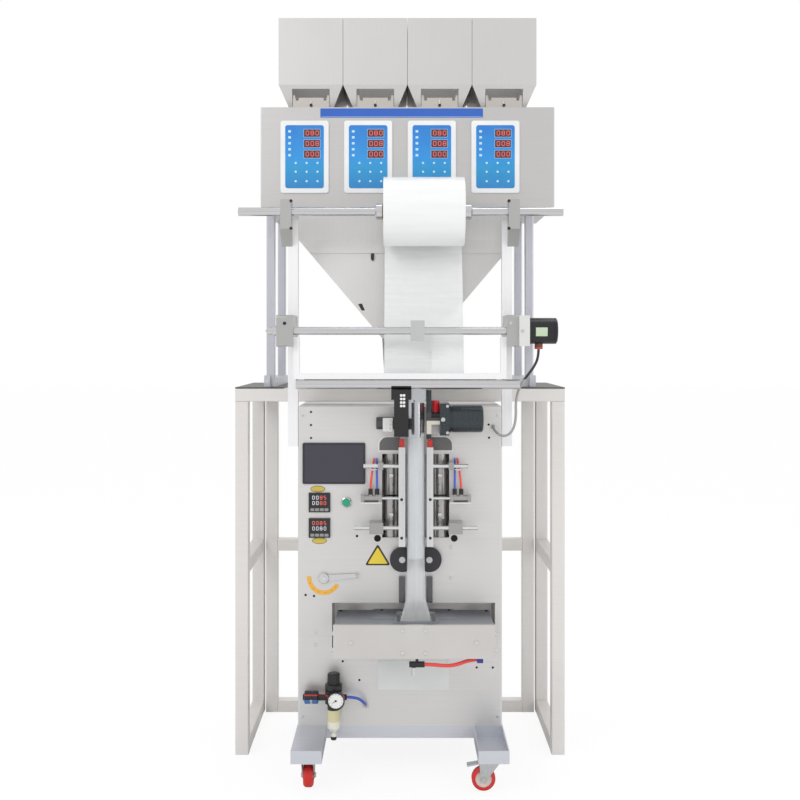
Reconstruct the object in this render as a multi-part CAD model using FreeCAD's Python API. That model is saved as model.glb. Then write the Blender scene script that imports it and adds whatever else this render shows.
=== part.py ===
"""Four-head weigher on a tube stand above a vertical form-fill-seal bagging machine.

Millimetres. X runs to the right, Y to the back, Z up from the floor. The origin is on the
floor at the middle of the machine's box. Heights on the bagger are measured from the top of
its cabinet, and the weigher's from the top of the stand.
"""
import FreeCAD, Part
import math
import os

V = FreeCAD.Vector

# ---------------------------------------------------------------- bagger cabinet
CASTER_HEIGHT = 91.0           # floor to the underside of the legs
LEG_HEIGHT = 34.0
CABINET_WIDTH = 566.0
CABINET_DEPTH = 447.0
CABINET_FRONT = -178.0
CABINET_HEIGHT = 885.0
CABINET_EDGE = 4.0             # rounding of the folded corners
FILM_X = 43.5                  # centre line of film, forming tube and wheels
RECESS_WIDTH = 186.0
RECESS_HEIGHT = 232.0
RECESS_DROP = 131.0            # cabinet top to the recess
RECESS_DEPTH = 90.0
COVER_RADIUS = 21.0            # half-round covers inside the recess
COVER_GAP = 4.0                # cover to the recess side
COVER_JOINT = 5.0              # gap between the upper and the lower cover
WING_RADIUS = 26.0             # rounded plates over the recess
WING_THICKNESS = 3.0
WING_HEIGHT = 46.0
WING_LIFT = 5.0
WING_INNER = 44.0              # film's centre line to each plate
WING_OUT = 12.0                # plates beyond the recess sides

# ---------------------------------------------------------------- stand of square tube
STAND_WIDTH = 950.0
STAND_DEPTH = 434.0
STAND_FRONT = -51.0            # front face of the stand
STAND_TUBE = 38.0
TUBE_EDGE = 3.0                # rounding of the tube's corners
STAND_OVER_CABINET = 8.0       # cabinet top to the stand's upper rails
MID_RAIL_Z = 519.0             # underside of the middle rails
INNER_POST_GAP = 6.0           # between a rear corner post and its inner post
DECK_PLATE = 3.0
DECK_WIDTH = 140.0             # of each of the two deck plates

# ---------------------------------------------------------------- weigher
WEIGHER_X = 21.5               # centre line of the weigher
WEIGHER_WIDTH = 839.0
WEIGHER_DEPTH = 460.0
WEIGHER_FRONT = -81.0
WEIGHER_HEIGHT = 285.0
WEIGHER_EDGE = 2.5
COLUMN = 25.0                  # square tube of the weigher's columns
COLUMN_HEIGHT = 491.0
COLUMN_INSET_LEFT = 18.0       # weigher's side to the column's centre
COLUMN_INSET_RIGHT = 61.0
COLUMN_INSET_FRONT = 110.0
COLUMN_INSET_BACK = 30.0
BASE_RAIL_HEIGHT = 25.0
BASE_RAIL_WIDTH = 36.0
FOOT_CLAMP = (18.0, 12.0, 33.0)    # width, depth, height of the clamp at a column's foot
HEADS = 4
HOPPER_PITCH = 185.0
HOPPER_GAP = 1.0               # between neighbouring hoppers
HOPPER_DEPTH = 300.0
HOPPER_SETBACK = 11.0          # behind the weigher's front
HOPPER_HEIGHT = 191.0          # straight upper part
HOPPER_TAPER = 67.0            # tapered lower part
HOPPER_FOOT_WIDTH = 124.0
HOPPER_FOOT_DEPTH = 250.0
SHEET = 2.0                    # stainless sheet of hoppers, funnel and chute
WINDOW_WIDTH = 108.0           # front window of a hopper's lower part
WINDOW_TOP_GAP = 11.0          # from the window to the hopper's crease
TRAY_WIDTH = 92.0
TRAY_DEPTH = 205.0
TRAY_HEIGHT = 33.0
TRAY_LIP = 8.0                 # how far the tray stands out of the window
TRAY_NOTCH = 8.0               # cut-out at each upper corner of the gate
EAR_WIDTH = 6.0                # flange on each side of the tray
EAR_RISE = 7.0
GATE_LEVER = (4.0, 14.0)       # diameter and length of the lever on the gate
PANEL_X = 0.0                  # middle of the row of control panels
PANEL_WIDTH = 137.0
PANEL_HEIGHT = 206.0
PANEL_THICKNESS = 5.0
PANEL_CORNER = 7.0
PANEL_PITCH = 181.5
PANEL_RISE = 40.0              # weigher's underside to the panels

# ---------------------------------------------------------------- funnel and chute
FUNNEL_WIDTH = 622.0
FUNNEL_SETBACK = 3.0           # behind the weigher's front
FUNNEL_DEPTH = 408.0
SKIRT_HEIGHT = 94.0
CONE_HEIGHT = 281.0
OUTLET_WIDTH = 144.0
OUTLET_DEPTH = 100.0
OUTLET_FORWARD = 32.0          # outlet's front ahead of the mouth's front
HEM_DROP = 20.0                # skirt to the stiffening hem on the front of the cone
HEM_HEIGHT = 18.0
HEM_PROUD = 3.0
TUBE_FORWARD = 47.0            # axis of the forming tube ahead of the cabinet
TUBE_OD = 47.0
TUBE_WALL = 1.5
CUP_WIDTH = 127.0
CUP_DEPTH = 84.0
CUP_RISE = 78.0                # cabinet top to the cup's rim
CUP_HEIGHT = 64.0
FORMING_TUBE_DROP = 410.0      # cabinet top to the tube's lower end
STRUT_WIDTH = 30.0             # bar that holds the forming tube off the cabinet
STRUT_HEIGHT = 25.0
STRUT_DROP = 30.0
FILM_STOP = 50.0               # strut to the film's upper edge
# below the tube: drop, half width and half depth of the film as it closes towards the jaws
BAG_SECTIONS = (
    (0.0, 24.2, 24.19), (110.0, 26.5, 21.0), (150.0, 37.0, 10.0), (172.0, 43.0, 4.5),
    (215.0, 43.0, 1.5),
)

# ---------------------------------------------------------------- base and casters
LEG_PROUD = 2.0                # legs beyond the cabinet's sides
LEG_WIDTH = 81.0
LEG_REACH = 205.0              # legs ahead of the cabinet
LEG_WALL = 3.0
CROSSBAR_DEPTH = 38.0
WHEEL_DIAMETER = 63.0
WHEEL_WIDTH = 26.0
TYRE_EDGE = 5.0
RIM_DEPTH = 4.0                # how deep the wheel's web lies between tyre and hub
TYRE_THICKNESS = 9.0
HUB_RADIUS = 9.0
CASTER_SETBACK = 66.0          # leg's front end to the front casters
CASTER_REAR_INSET = 54.0       # cabinet's back to the rear casters
CASTER_PLATE = 3.0
CASTER_PLATE_SIZE = 64.0
CASTER_TRAIL = 23.0
CASTER_PIN = 5.0               # radius
SWIVEL_GAP = 0.3
RACE_RADIUS = 20.0
RACE_HEIGHT = 11.0
FORK_SHEET = 2.5
FORK_GAP = 1.5                 # between wheel hub and fork cheek
AXLE_DIAMETER = 8.0
PEDAL_LENGTH = 32.0
PEDAL_SIDE = 2.0               # pedal edge inside the cheeks
PIN_CLEARANCE = 0.08           # all round a pin or shaft

# ---------------------------------------------------------------- film reel
POST_WIDTH = 28.0
POST_DEPTH = 28.0
POST_DROP = 110.0              # posts' lower ends below the cabinet top
POST_RISE = 520.0
REEL_FORWARD = 23.0            # reel axis ahead of the cabinet
REEL_RISE = 538.0
REEL_SHAFT = 24.0
REEL_OVERHANG = (117.0, 121.0)     # shaft beyond the left and the right block
REEL_BLOCK_WIDTH = 30.0
REEL_BLOCK_PROUD = 17.0        # block beyond the post's outer side
REEL_BLOCK_HEIGHT = 81.0
REEL_BLOCK_BELOW = 49.0        # block below the shaft's axis
REEL_GUSSET = 45.0
ROLL_OFFSET = 22.0             # middle of the roll from the film's centre line
ROLL_WIDTH = 221.0
ROLL_DIAMETER = 190.0
CORE_DIAMETER = 82.0
CORE_STEP = 1.5                # core beyond the film's sides
COLLAR_WIDTH = 21.0
COLLAR_DIAMETER = 44.0
COLLAR_EDGE = 3.0

# ---------------------------------------------------------------- rollers and guide frame
ROLLER_FORWARD = 97.0          # roller axis ahead of the cabinet
ROLLER_RISE = 209.0
ROLLER_DIAMETER = 21.0
ROLLER_TIP = 31.0              # roller beyond the left bearing
ROLLER_SOCKET = 6.0            # depth of the drive socket in the gear housing
BEARING_WIDTHS = (28.0, 15.0)  # left and right
BEARING_EDGE = 9.0             # rounding of the bearing blocks
BRACKET_PLATE = 17.0
BRACKET_CLEAR = 3.0            # from the cabinet's side to the bracket's inner face
BRACKET_HEIGHT = 85.0
BRACKET_REACH = 24.0           # bracket ahead of and behind the roller's axis
CLAMP = (37.0, 28.0, 56.0)     # width, depth, height of the roller's middle clamp
CLAMP_OFFSET = 4.0
MOTOR_DIAMETER = 70.0
MOTOR_LENGTH = 76.0
MOTOR_CAP = 8.0
GEAR_LENGTH = 28.0
GEAR_HEIGHT = 82.0
TERMINAL_RADIUS = 11.0
TERMINAL_LENGTH = 14.0
TERMINAL_INSET = 27.0
GUIDE_TUBE = 16.0
GUIDE_FRAME_RISE = 79.0        # underside of the guide frame's bar
GUIDE_BAR_DIAMETER = 27.0
GUIDE_BAR_OUT = (-6.0, 36.0)   # bar beyond the frame on the left and the right
GUIDE_LUG_INSET = 20.0
FRAME_OVERLAP = 26.0           # uprights beside the roller brackets
LUG = (16.0, 14.0)
WEB_INSET = 2.0                # web inside the roll's sides
FILM_THICKNESS = 0.8
SOFT_GAP = 0.4                 # film to what it runs over

# ---------------------------------------------------------------- vertical sealer
SEAL_BAR_WIDTH = 18.0
SEAL_BAR_DEPTH = 26.0
SEAL_BAR_HEIGHT = 271.0
SEAL_BAR_RISE = 23.0           # bar above the recess
SEAL_WEB = 6.0                 # width of the bar's groove
HEATER_HEIGHT = 21.0
SEAL_GAP = 5.0                 # from film to bar with the sealer as it stands
UPPER_ROD_DROP = 29.0          # recess top to the upper rods
LOWER_ROD_LIFT = 34.0          # recess bottom to the lower rods
SEAL_ROD = 12.0
UPPER_ROD_OUT = 96.0           # how far the rods reach out past the bar
LOWER_ROD_OUT = 122.0
GUIDE_BLOCK_OUT = 42.0         # bar to guide block
GUIDE_BLOCKS = ((14.0, 20.0), (38.0, 30.0))    # width, height of the upper and lower ones
CYLINDER_WIDTH = 57.0
CYLINDER_DIAMETER = 20.0
CYLINDER_LIFT = 115.0          # recess bottom to the cylinders' axis
CYLINDER_OFFSET = 4.0          # cylinder beyond the guide blocks' inner faces
CYLINDER_END = 9.0             # square ends
CYLINDER_SHELF = 3.0
FITTING = (12.0, 16.0)         # diameter and height of an air fitting
FITTING_OUT = (106.0, 124.0)   # film's centre line to the inner and the outer fitting
PUSH_ROD = 8.0
PUSH_ROD_INTO = 24.0           # push rod past the guide blocks' inner faces
SEAL_TUBE = 6.0
# routes from a fitting back into the cabinet; X counts outwards from the film's centre line
RED_SEAL_TUBE = (
    (124.0, -225.0, 788.3), (123.2, -223.2, 805.2), (121.2, -218.9, 822.7),
    (118.8, -214.2, 839.0), (117.3, -209.6, 848.4), (116.3, -202.6, 856.2),
    (116.0, -193.7, 861.8), (116.0, -183.9, 864.7), (116.0, -178.6, 865.4),
)
BLUE_SEAL_TUBE = (
    (106.0, -225.0, 788.3), (106.1, -223.2, 805.2), (106.5, -218.9, 822.7),
    (107.0, -214.2, 839.0), (107.5, -209.6, 848.4), (107.8, -202.6, 856.2),
    (108.0, -193.7, 861.8), (108.0, -183.9, 864.7), (108.0, -178.6, 865.4),
)

# ---------------------------------------------------------------- pull wheels
PULL_WHEEL_DROP = 422.0
PULL_WHEEL_DIAMETER = 68.0
PULL_WHEEL_WIDTH = 12.0
PULL_WHEEL_PITCH = 75.0
PULL_WHEEL_GAP = 6.0           # to the panel behind
PULL_HUB = 17.0
PULL_HUB_PROUD = 2.0
SPREADER_HEIGHT = 72.0         # uprights that hold the bag mouth open
SPREADER_SIZE = (17.0, 12.0)
SPREADER_HALF = 38.0           # film's centre line to an upright's middle
SPREADER_LIFT = 2.0            # above the jaw bay

# ---------------------------------------------------------------- cross sealing jaws
JAW_OFFSET = -6.0              # middle of the jaws from the film's centre line
JAW_BAY_WIDTH = 452.0
JAW_BAY_HEIGHT = 126.0
JAW_BAY_DROP = 544.0
JAW_BAY_DEPTH = 130.0
JAW_PLATE_WIDTH = 429.0
JAW_PLATE_HEIGHT = 89.0
JAW_PLATE_DROP = 26.0          # bay's top to the plate's top
JAW_PLATE_FORWARD = 153.0      # plate's face ahead of the cabinet
JAW_PLATE_THICKNESS = 12.0
JAW_COVER = 3.0
JAW_COVER_INTO = 28.0          # cover's back edge inside the bay
JAW_COVER_SIDE = 3.0
JAW_SLOT_WIDTH = 104.0
JAW_SLOT_AHEAD = 75.0          # slot ahead of the film
JAW_SLOT_REAR = 28.0           # slot to the cover's back edge
SLOT_PLATE = (224.0, 116.0, 3.0)   # width, depth, thickness of the plate round the slot
SLOT_RIM = 7.0
JAW_TRAVEL = 20.0
JAW_ROD = 16.0
JAW_ROD_RISE = 41.0            # plate's lower edge to the rods' axis
JAW_ROD_HALF = 170.0
JAW_BEAM_WIDTH = 120.0
JAW_BEAM_HEIGHT = 30.0
JAW_BEAM_RISE = 26.0           # plate's lower edge to the beams
JAW_FACE_GAP = 12.0            # film's middle to each jaw face
TEETH = 5                      # grooves across each jaw face
GROOVE = 1.5
BUSHING_WIDTH = 40.0
BUSHING_DEPTH = 60.0
BUSHING_OVER = 20.0
BAY_PLATE = 6.0                # plate at the back of the bay that carries beam and bushings
JAW_TEE = (41.0, 16.0)         # length and diameter of the air tee under the jaw
NIPPLE = (12.0, 22.0)
JAW_TUBE = 10.0
JAW_TUBE_ROUTE = (
    (65.3, -325.0, 335.0), (88.0, -325.0, 334.2), (112.0, -324.5, 331.5),
    (136.0, -323.0, 331.0), (159.0, -318.5, 335.0), (182.0, -313.5, 342.5),
    (204.2, -312.0, 344.5),
)

# ---------------------------------------------------------------- controls and air set
SCREEN_INSET = 13.0            # cabinet's side to the screen
SCREEN_WIDTH = 174.0
SCREEN_DROP = 100.0
SCREEN_HEIGHT = 114.0
SCREEN_THICKNESS = 6.0
SCREEN_CORNER = 4.0
SCREEN_LIP = 4.0
CONTROLLER_INSET = 60.0
CONTROLLER_WIDTH = 60.0
CONTROLLER_HEIGHT = 54.5
CONTROLLER_DROPS = (238.0, 308.5)
CONTROLLER_THICKNESS = 6.0
CONTROLLER_RIM = 5.0
BUTTON_INSET, BUTTON_DROP = 134.5, 265.0
BUTTON_DIAMETER = 22.0
BUTTON_PROUD = 10.0
BUTTON_TRAVEL = 3.0
BUTTON_BEZEL = 30.0
BEZEL_HEIGHT = 5.0
BEZEL_FLOOR = 0.5
LEVER_INSET, LEVER_DROP = 72.0, 475.0
LEVER_LENGTH = 93.0
LEVER_PIN = 6.0                # radius
LEVER_HUB = 15.0
LEVER_TIP = 5.0                # radius
LEVER_REST_ANGLE = 5.0         # above level
REGULATOR_INSET = 101.0
REGULATOR_LIFT = 101.0         # above the cabinet's bottom
REGULATOR_FORWARD = 36.0
KNOB_DIAMETER = 34.0
KNOB_HEIGHT = 30.0
KNOB_RIBS = 12
GAUGE_RADIUS = 24.0
GAUGE_OFFSET = 8.0
AIR_TUBE = 8.0
AIR_TUBE_ROUTE = (
    (-145.7, -214.0, 215.0), (-126.0, -213.5, 214.5), (-108.0, -208.0, 206.5),
    (-98.0, -195.5, 191.5), (-95.5, -177.0, 183.0),
)
PORTS = ((-95.5, 183.5, 9.0), (257.0, 956.0, 7.0))   # X, Z, radius of the holes for tube and cable
PORT_DEPTH = 4.0
MOTOR_CABLE = 7.0
MOTOR_CABLE_ROUTE = (
    (373.0, -275.0, 1169.7), (372.3, -274.5, 1147.0), (362.0, -269.0, 1123.0),
    (346.0, -258.0, 1100.0), (331.0, -247.0, 1078.0), (320.0, -240.0, 1052.0),
    (315.0, -236.0, 1022.0), (316.5, -233.0, 990.0), (313.0, -230.0, 960.0),
    (301.0, -226.0, 937.0), (281.0, -219.0, 930.0), (264.0, -207.0, 941.0),
    (257.5, -191.0, 952.0), (257.0, -177.0, 956.0),
)
DRIVE_OFFSET = 64.5            # film's centre line to the gearbox
DRIVE_DROP = 30.0
DRIVE_FORWARD = 50.0
DRIVE_GEAR = (25.0, 80.0, 86.0)    # length along X, depth, height
DRIVE_MOTOR = (93.0, 75.0)     # length along X, diameter
DRIVE_BOX = (23.0, 32.0, 28.0)     # width, depth, height of the junction box beside the gears
CAP_RADIUS = 11.0
CAP_HEIGHT = 36.0
SENSOR_PLATE = (14.0, 4.0, 132.0)  # width, thickness, height
SENSOR_PLATE_GAP = 8.0         # film to the plate
SENSOR_OFFSET = -40.0
SENSOR_RISE = 51.5
SENSOR_HEAD = (54.0, 38.0, 27.0)
SENSOR_BODY = (39.0, 32.0, 99.0)
SENSOR_FORWARD = 84.0
SENSOR_ARM = 30.0
SMALL_MOTOR = (54.0, 34.0)     # length and diameter of the small motor left of the sensor
SMALL_MOTOR_GAP = 2.0

# ---------------------------------------------------------------- places worked out
LEG_TOP = CASTER_HEIGHT + LEG_HEIGHT
TOP = LEG_TOP + CABINET_HEIGHT
HALF = CABINET_WIDTH / 2
CABINET_BACK = CABINET_FRONT + CABINET_DEPTH
RAIL_TOP = TOP + STAND_OVER_CABINET
STAND_HEIGHT = RAIL_TOP + STAND_TUBE
DECK_TOP = STAND_HEIGHT + DECK_PLATE
WEIGHER_BOTTOM = DECK_TOP + BASE_RAIL_HEIGHT + COLUMN_HEIGHT
WEIGHER_TOP = WEIGHER_BOTTOM + WEIGHER_HEIGHT
HOPPER_FRONT = WEIGHER_FRONT + HOPPER_SETBACK
FUNNEL_FRONT = WEIGHER_FRONT + FUNNEL_SETBACK
SKIRT_Z = WEIGHER_BOTTOM - SKIRT_HEIGHT
OUTLET_Z = SKIRT_Z - CONE_HEIGHT
TUBE_Y = CABINET_FRONT - TUBE_FORWARD
CUP_TOP = TOP + CUP_RISE
CUP_BOTTOM = CUP_TOP - CUP_HEIGHT
FORMING_TUBE_END = TOP - FORMING_TUBE_DROP
RECESS_TOP = TOP - RECESS_DROP
RECESS_BOTTOM = RECESS_TOP - RECESS_HEIGHT
REEL_Y = CABINET_FRONT - REEL_FORWARD
REEL_Z = TOP + REEL_RISE
ROLL_X0 = FILM_X + ROLL_OFFSET - ROLL_WIDTH / 2
ROLL_X1 = ROLL_X0 + ROLL_WIDTH
ROLLER_Y = CABINET_FRONT - ROLLER_FORWARD
ROLLER_Z = TOP + ROLLER_RISE
BRACKET_INNER = HALF + BRACKET_CLEAR
GUIDE_FRAME_Z = TOP + GUIDE_FRAME_RISE
FILM_OUTER = TUBE_OD / 2 + FILM_THICKNESS
BAY_TOP = TOP - JAW_BAY_DROP
BAY_BOTTOM = BAY_TOP - JAW_BAY_HEIGHT
BAY_BACK = CABINET_FRONT + JAW_BAY_DEPTH
JAW_X = FILM_X + JAW_OFFSET
JAW_TOP = BAY_TOP - JAW_PLATE_DROP
JAW_BOTTOM = JAW_TOP - JAW_PLATE_HEIGHT
JAW_FRONT = CABINET_FRONT - JAW_PLATE_FORWARD
BEAM_Z = JAW_BOTTOM + JAW_BEAM_RISE


# ================================================================ helpers
def block(x0, x1, y0, y1, z0, z1):
    """A box between two corners, given in any order along each axis."""
    x0, x1 = sorted((x0, x1))
    y0, y1 = sorted((y0, y1))
    z0, z1 = sorted((z0, z1))
    return Part.makeBox(x1 - x0, y1 - y0, z1 - z0, V(x0, y0, z0))


DIRECTIONS = {"X": V(1, 0, 0), "Y": V(0, 1, 0), "Z": V(0, 0, 1)}


def spot(axis, along, a, b):
    """The point at a distance along an axis; a and b are its other two places in order."""
    if axis == "X":
        return V(along, a, b)
    if axis == "Y":
        return V(a, along, b)
    return V(a, b, along)


def rod(axis, start, end, radius, a, b):
    """A round bar along axis X, Y or Z; a and b are its other two places."""
    start, end = sorted((start, end))
    return Part.makeCylinder(radius, end - start, spot(axis, start, a, b), DIRECTIONS[axis])


def turned(axis, a, b, profile):
    """A turned piece: discs or cones between the (place, radius) steps of its profile."""
    pieces = []
    for (p0, r0), (p1, r1) in zip(profile, profile[1:]):
        if p1 - p0 < 0.001:
            continue
        place = spot(axis, p0, a, b)
        if abs(r0 - r1) < 0.001:
            pieces.append(Part.makeCylinder(r0, p1 - p0, place, DIRECTIONS[axis]))
        else:
            pieces.append(Part.makeCone(r0, r1, p1 - p0, place, DIRECTIONS[axis]))
    return join(*pieces)


def chamfered_rod(axis, start, end, radius, a, b, edge):
    """A round bar with both its edges broken."""
    start, end = sorted((start, end))
    steps = [(start, radius - edge), (start + edge, radius), (end - edge, radius),
             (end, radius - edge)]
    return turned(axis, a, b, steps)


def extrude(points, along):
    """A prism of a flat outline."""
    wire = Part.makePolygon([V(*p) for p in points] + [V(*points[0])])
    return Part.Face(wire).extrude(V(*along))


def frustum(low, z_low, high, z_high):
    """A solid between two level rectangles, each (x0, x1, y0, y1)."""
    def ring(rect, z):
        x0, x1, y0, y1 = rect
        return [V(x0, y0, z), V(x1, y0, z), V(x1, y1, z), V(x0, y1, z)]

    bottom, top = ring(low, z_low), ring(high, z_high)
    outlines = [bottom, top]
    for i in range(4):
        j = (i + 1) % 4
        outlines.append([bottom[i], bottom[j], top[j], top[i]])
    faces = [Part.Face(Part.makePolygon(points + [points[0]])) for points in outlines]
    return Part.makeSolid(Part.makeShell(faces))


def inset(rect, wall):
    x0, x1, y0, y1 = rect
    return (x0 + wall, x1 - wall, y0 + wall, y1 - wall)


def around(x, y, width, depth):
    return (x - width / 2, x + width / 2, y - depth / 2, y + depth / 2)


def blend(low, high, share):
    """The rectangle part of the way from one to another."""
    return tuple(a + (b - a) * share for a, b in zip(low, high))


def join(*shapes):
    if len(shapes) == 1:
        return shapes[0]
    return shapes[0].fuse(list(shapes[1:])).removeSplitter()


def rounded(shape, radius, axis):
    """Rounds the straight edges that run along an axis."""
    direction = DIRECTIONS[axis]
    edges = [
        e for e in shape.Edges
        if isinstance(e.Curve, Part.Line) and abs(e.Curve.Direction.dot(direction)) > 0.999
    ]
    return shape.makeFillet(radius, edges)


def mirrored(x):
    """The left and the right place of a pair, given the right one."""
    return (-x, x)


def cord(points, diameter):
    """A tube along straight runs joined by tangent arcs, and its tightest radius."""
    route = [V(*p) for p in points]
    edges = []
    radii = []
    here = route[0]
    for before, corner, after in zip(route, route[1:], route[2:]):
        one, two = before - corner, after - corner
        turn = math.pi - one.getAngle(two)
        reach = 0.45 * min(one.Length, two.Length)
        radii.append(reach / math.tan(turn / 2))
        start = corner + one.normalize() * reach
        end = corner + two.normalize() * reach
        bisector = (one + two).normalize()
        out = radii[-1] / math.cos(turn / 2) - radii[-1]
        middle = corner + bisector * out
        edges.append(Part.LineSegment(here, start).toShape())
        edges.append(Part.Arc(start, middle, end).toShape())
        here = end
    edges.append(Part.LineSegment(here, route[-1]).toShape())
    path = Part.Wire(edges)
    circle = Part.Circle(route[0], route[1] - route[0], diameter / 2)
    tube = path.makePipeShell([Part.Wire(circle.toShape())], True, True)
    section = math.pi * diameter ** 2 / 4
    print("  tightest radius %.0f, length %.0f, volume / section x length %.3f" % (
        min(radii), path.Length, tube.Volume / (section * path.Length)))
    return tube


NODES = {}


def node(name, *solids):
    """Keeps the solids of one named piece."""
    NODES[name] = list(solids)


# ================================================================ stand
def tube_bar(axis, x0, x1, y0, y1, z0, z1):
    return rounded(block(x0, x1, y0, y1, z0, z1), TUBE_EDGE, axis)


def make_stand():
    side = STAND_WIDTH / 2
    front = STAND_FRONT
    back = front + STAND_DEPTH
    tube = STAND_TUBE
    inner = side - tube - INNER_POST_GAP
    posts, side_rails = [], []
    for s in (-1, 1):
        for x, y in ((side, front), (side, back - tube), (inner, back - tube)):
            posts.append(tube_bar("Z", s * x, s * (x - tube), y, y + tube, 0, RAIL_TOP))
        for z in (0, MID_RAIL_Z, RAIL_TOP):
            side_rails.append(
                tube_bar("Y", s * side, s * (side - tube), front + tube, back - tube, z, z + tube)
            )
    reach = inner - tube
    node("stand_posts", *posts)
    node("stand_side_rails", *side_rails)
    node(
        "stand_cross_rails",
        tube_bar("X", -reach, reach, back - tube, back, 0, tube),
        tube_bar("X", -reach, reach, back - tube, back, MID_RAIL_Z, MID_RAIL_Z + tube),
        tube_bar("X", -side, side, front, front + tube, RAIL_TOP, STAND_HEIGHT),
        tube_bar("X", -side, side, back - tube, back, RAIL_TOP, STAND_HEIGHT),
    )
    plates = [
        block(s * side, s * (side - DECK_WIDTH), front, back, STAND_HEIGHT, DECK_TOP)
        for s in (-1, 1)
    ]
    node("deck_plates", *plates)


# ================================================================ weigher
def make_weigher_frame():
    rail_top = DECK_TOP + BASE_RAIL_HEIGHT
    half = COLUMN / 2
    left = WEIGHER_X - WEIGHER_WIDTH / 2
    front_y = WEIGHER_FRONT + COLUMN_INSET_FRONT
    rear_y = WEIGHER_FRONT + WEIGHER_DEPTH - COLUMN_INSET_BACK
    clamp_w, clamp_d, clamp_h = FOOT_CLAMP
    rails, columns = [], []
    places = ((left + COLUMN_INSET_LEFT, -1), (left + WEIGHER_WIDTH - COLUMN_INSET_RIGHT, 1))
    for x, s in places:
        rail = block(
            x - BASE_RAIL_WIDTH / 2, x + BASE_RAIL_WIDTH / 2,
            front_y - half, rear_y + half, DECK_TOP, rail_top,
        )
        outer = x + s * BASE_RAIL_WIDTH / 2
        clamp = block(
            outer, outer - s * clamp_w, front_y - half - clamp_d, front_y - half,
            DECK_TOP, DECK_TOP + clamp_h,
        )
        rails.append(join(rail, clamp))
        for y in (front_y, rear_y):
            columns.append(tube_bar("Z", x - half, x + half, y - half, y + half,
                                    rail_top, WEIGHER_BOTTOM))
    node("weigher_base_rails", *rails)
    node("weigher_columns", *columns)


def make_weigher_cabinet():
    x0 = WEIGHER_X - WEIGHER_WIDTH / 2
    body = block(
        x0, x0 + WEIGHER_WIDTH, WEIGHER_FRONT, WEIGHER_FRONT + WEIGHER_DEPTH,
        WEIGHER_BOTTOM, WEIGHER_TOP,
    )
    node("weigher_cabinet", rounded(body, WEIGHER_EDGE, "Z"))
    z = WEIGHER_BOTTOM + PANEL_RISE
    panels = []
    for i in range(HEADS):
        x = PANEL_X + (i - (HEADS - 1) / 2) * PANEL_PITCH
        panel = block(
            x - PANEL_WIDTH / 2, x + PANEL_WIDTH / 2,
            WEIGHER_FRONT - PANEL_THICKNESS, WEIGHER_FRONT, z, z + PANEL_HEIGHT,
        )
        panels.append(rounded(panel, PANEL_CORNER, "Y"))
    node("control_panels", *panels)


def hopper(x):
    """One feed hopper: straight sheet box on a tapered foot with a window at the front."""
    neck_z = WEIGHER_TOP + HOPPER_TAPER
    top_z = neck_z + HOPPER_HEIGHT
    y = HOPPER_FRONT + HOPPER_DEPTH / 2
    mouth = around(x, y, HOPPER_PITCH - HOPPER_GAP, HOPPER_DEPTH)
    foot = around(x, y, HOPPER_FOOT_WIDTH, HOPPER_FOOT_DEPTH)
    outer = join(frustum(mouth, neck_z, mouth, top_z), frustum(foot, WEIGHER_TOP, mouth, neck_z))
    mouth_in, foot_in = inset(mouth, SHEET), inset(foot, SHEET)
    inner = join(
        frustum(mouth_in, neck_z, mouth_in, top_z + 1),
        frustum(foot_in, WEIGHER_TOP, mouth_in, neck_z),
    )
    window = block(
        x - WINDOW_WIDTH / 2, x + WINDOW_WIDTH / 2,
        HOPPER_FRONT - 1, y, WEIGHER_TOP - 1, neck_z - WINDOW_TOP_GAP,
    )
    return outer.cut(inner).cut(window)


def tray(x):
    """The vibrating pan under a hopper with its notched gate, side flanges and gate lever."""
    z0, z1 = WEIGHER_TOP, WEIGHER_TOP + TRAY_HEIGHT
    front = HOPPER_FRONT + (HOPPER_DEPTH - HOPPER_FOOT_DEPTH) / 2 - TRAY_LIP
    x0, x1 = x - TRAY_WIDTH / 2, x + TRAY_WIDTH / 2
    pan = block(x0, x1, front, front + TRAY_DEPTH, z0, z1)
    pan = pan.cut(block(
        x0 + SHEET, x1 - SHEET, front + SHEET, front + TRAY_DEPTH - SHEET,
        z0 + TRAY_HEIGHT / 2, z1 + 1,
    ))
    ears = []
    for side, s in ((x0, -1), (x1, 1)):
        notch = block(side, side - s * (SHEET + TRAY_NOTCH), front - 1, front + SHEET,
                      z1 - TRAY_NOTCH, z1 + 1)
        pan = pan.cut(notch)
        ears.append(block(side, side + s * EAR_WIDTH, front, front + 2 * SHEET,
                          z0, z1 + EAR_RISE))
    lever, length = GATE_LEVER
    y = front - lever / 2
    z = z0 + TRAY_HEIGHT / 3
    pin = rod("Z", z, z + length, lever / 2, x, y)
    pivot = rod("Y", y, front, lever * 0.8, x, z)
    return join(pan, *ears, pin, pivot)


def make_feed():
    places = [WEIGHER_X + (i - (HEADS - 1) / 2) * HOPPER_PITCH for i in range(HEADS)]
    node("feed_hoppers", *[hopper(x) for x in places])
    node("feed_trays", *[tray(x) for x in places])


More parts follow.
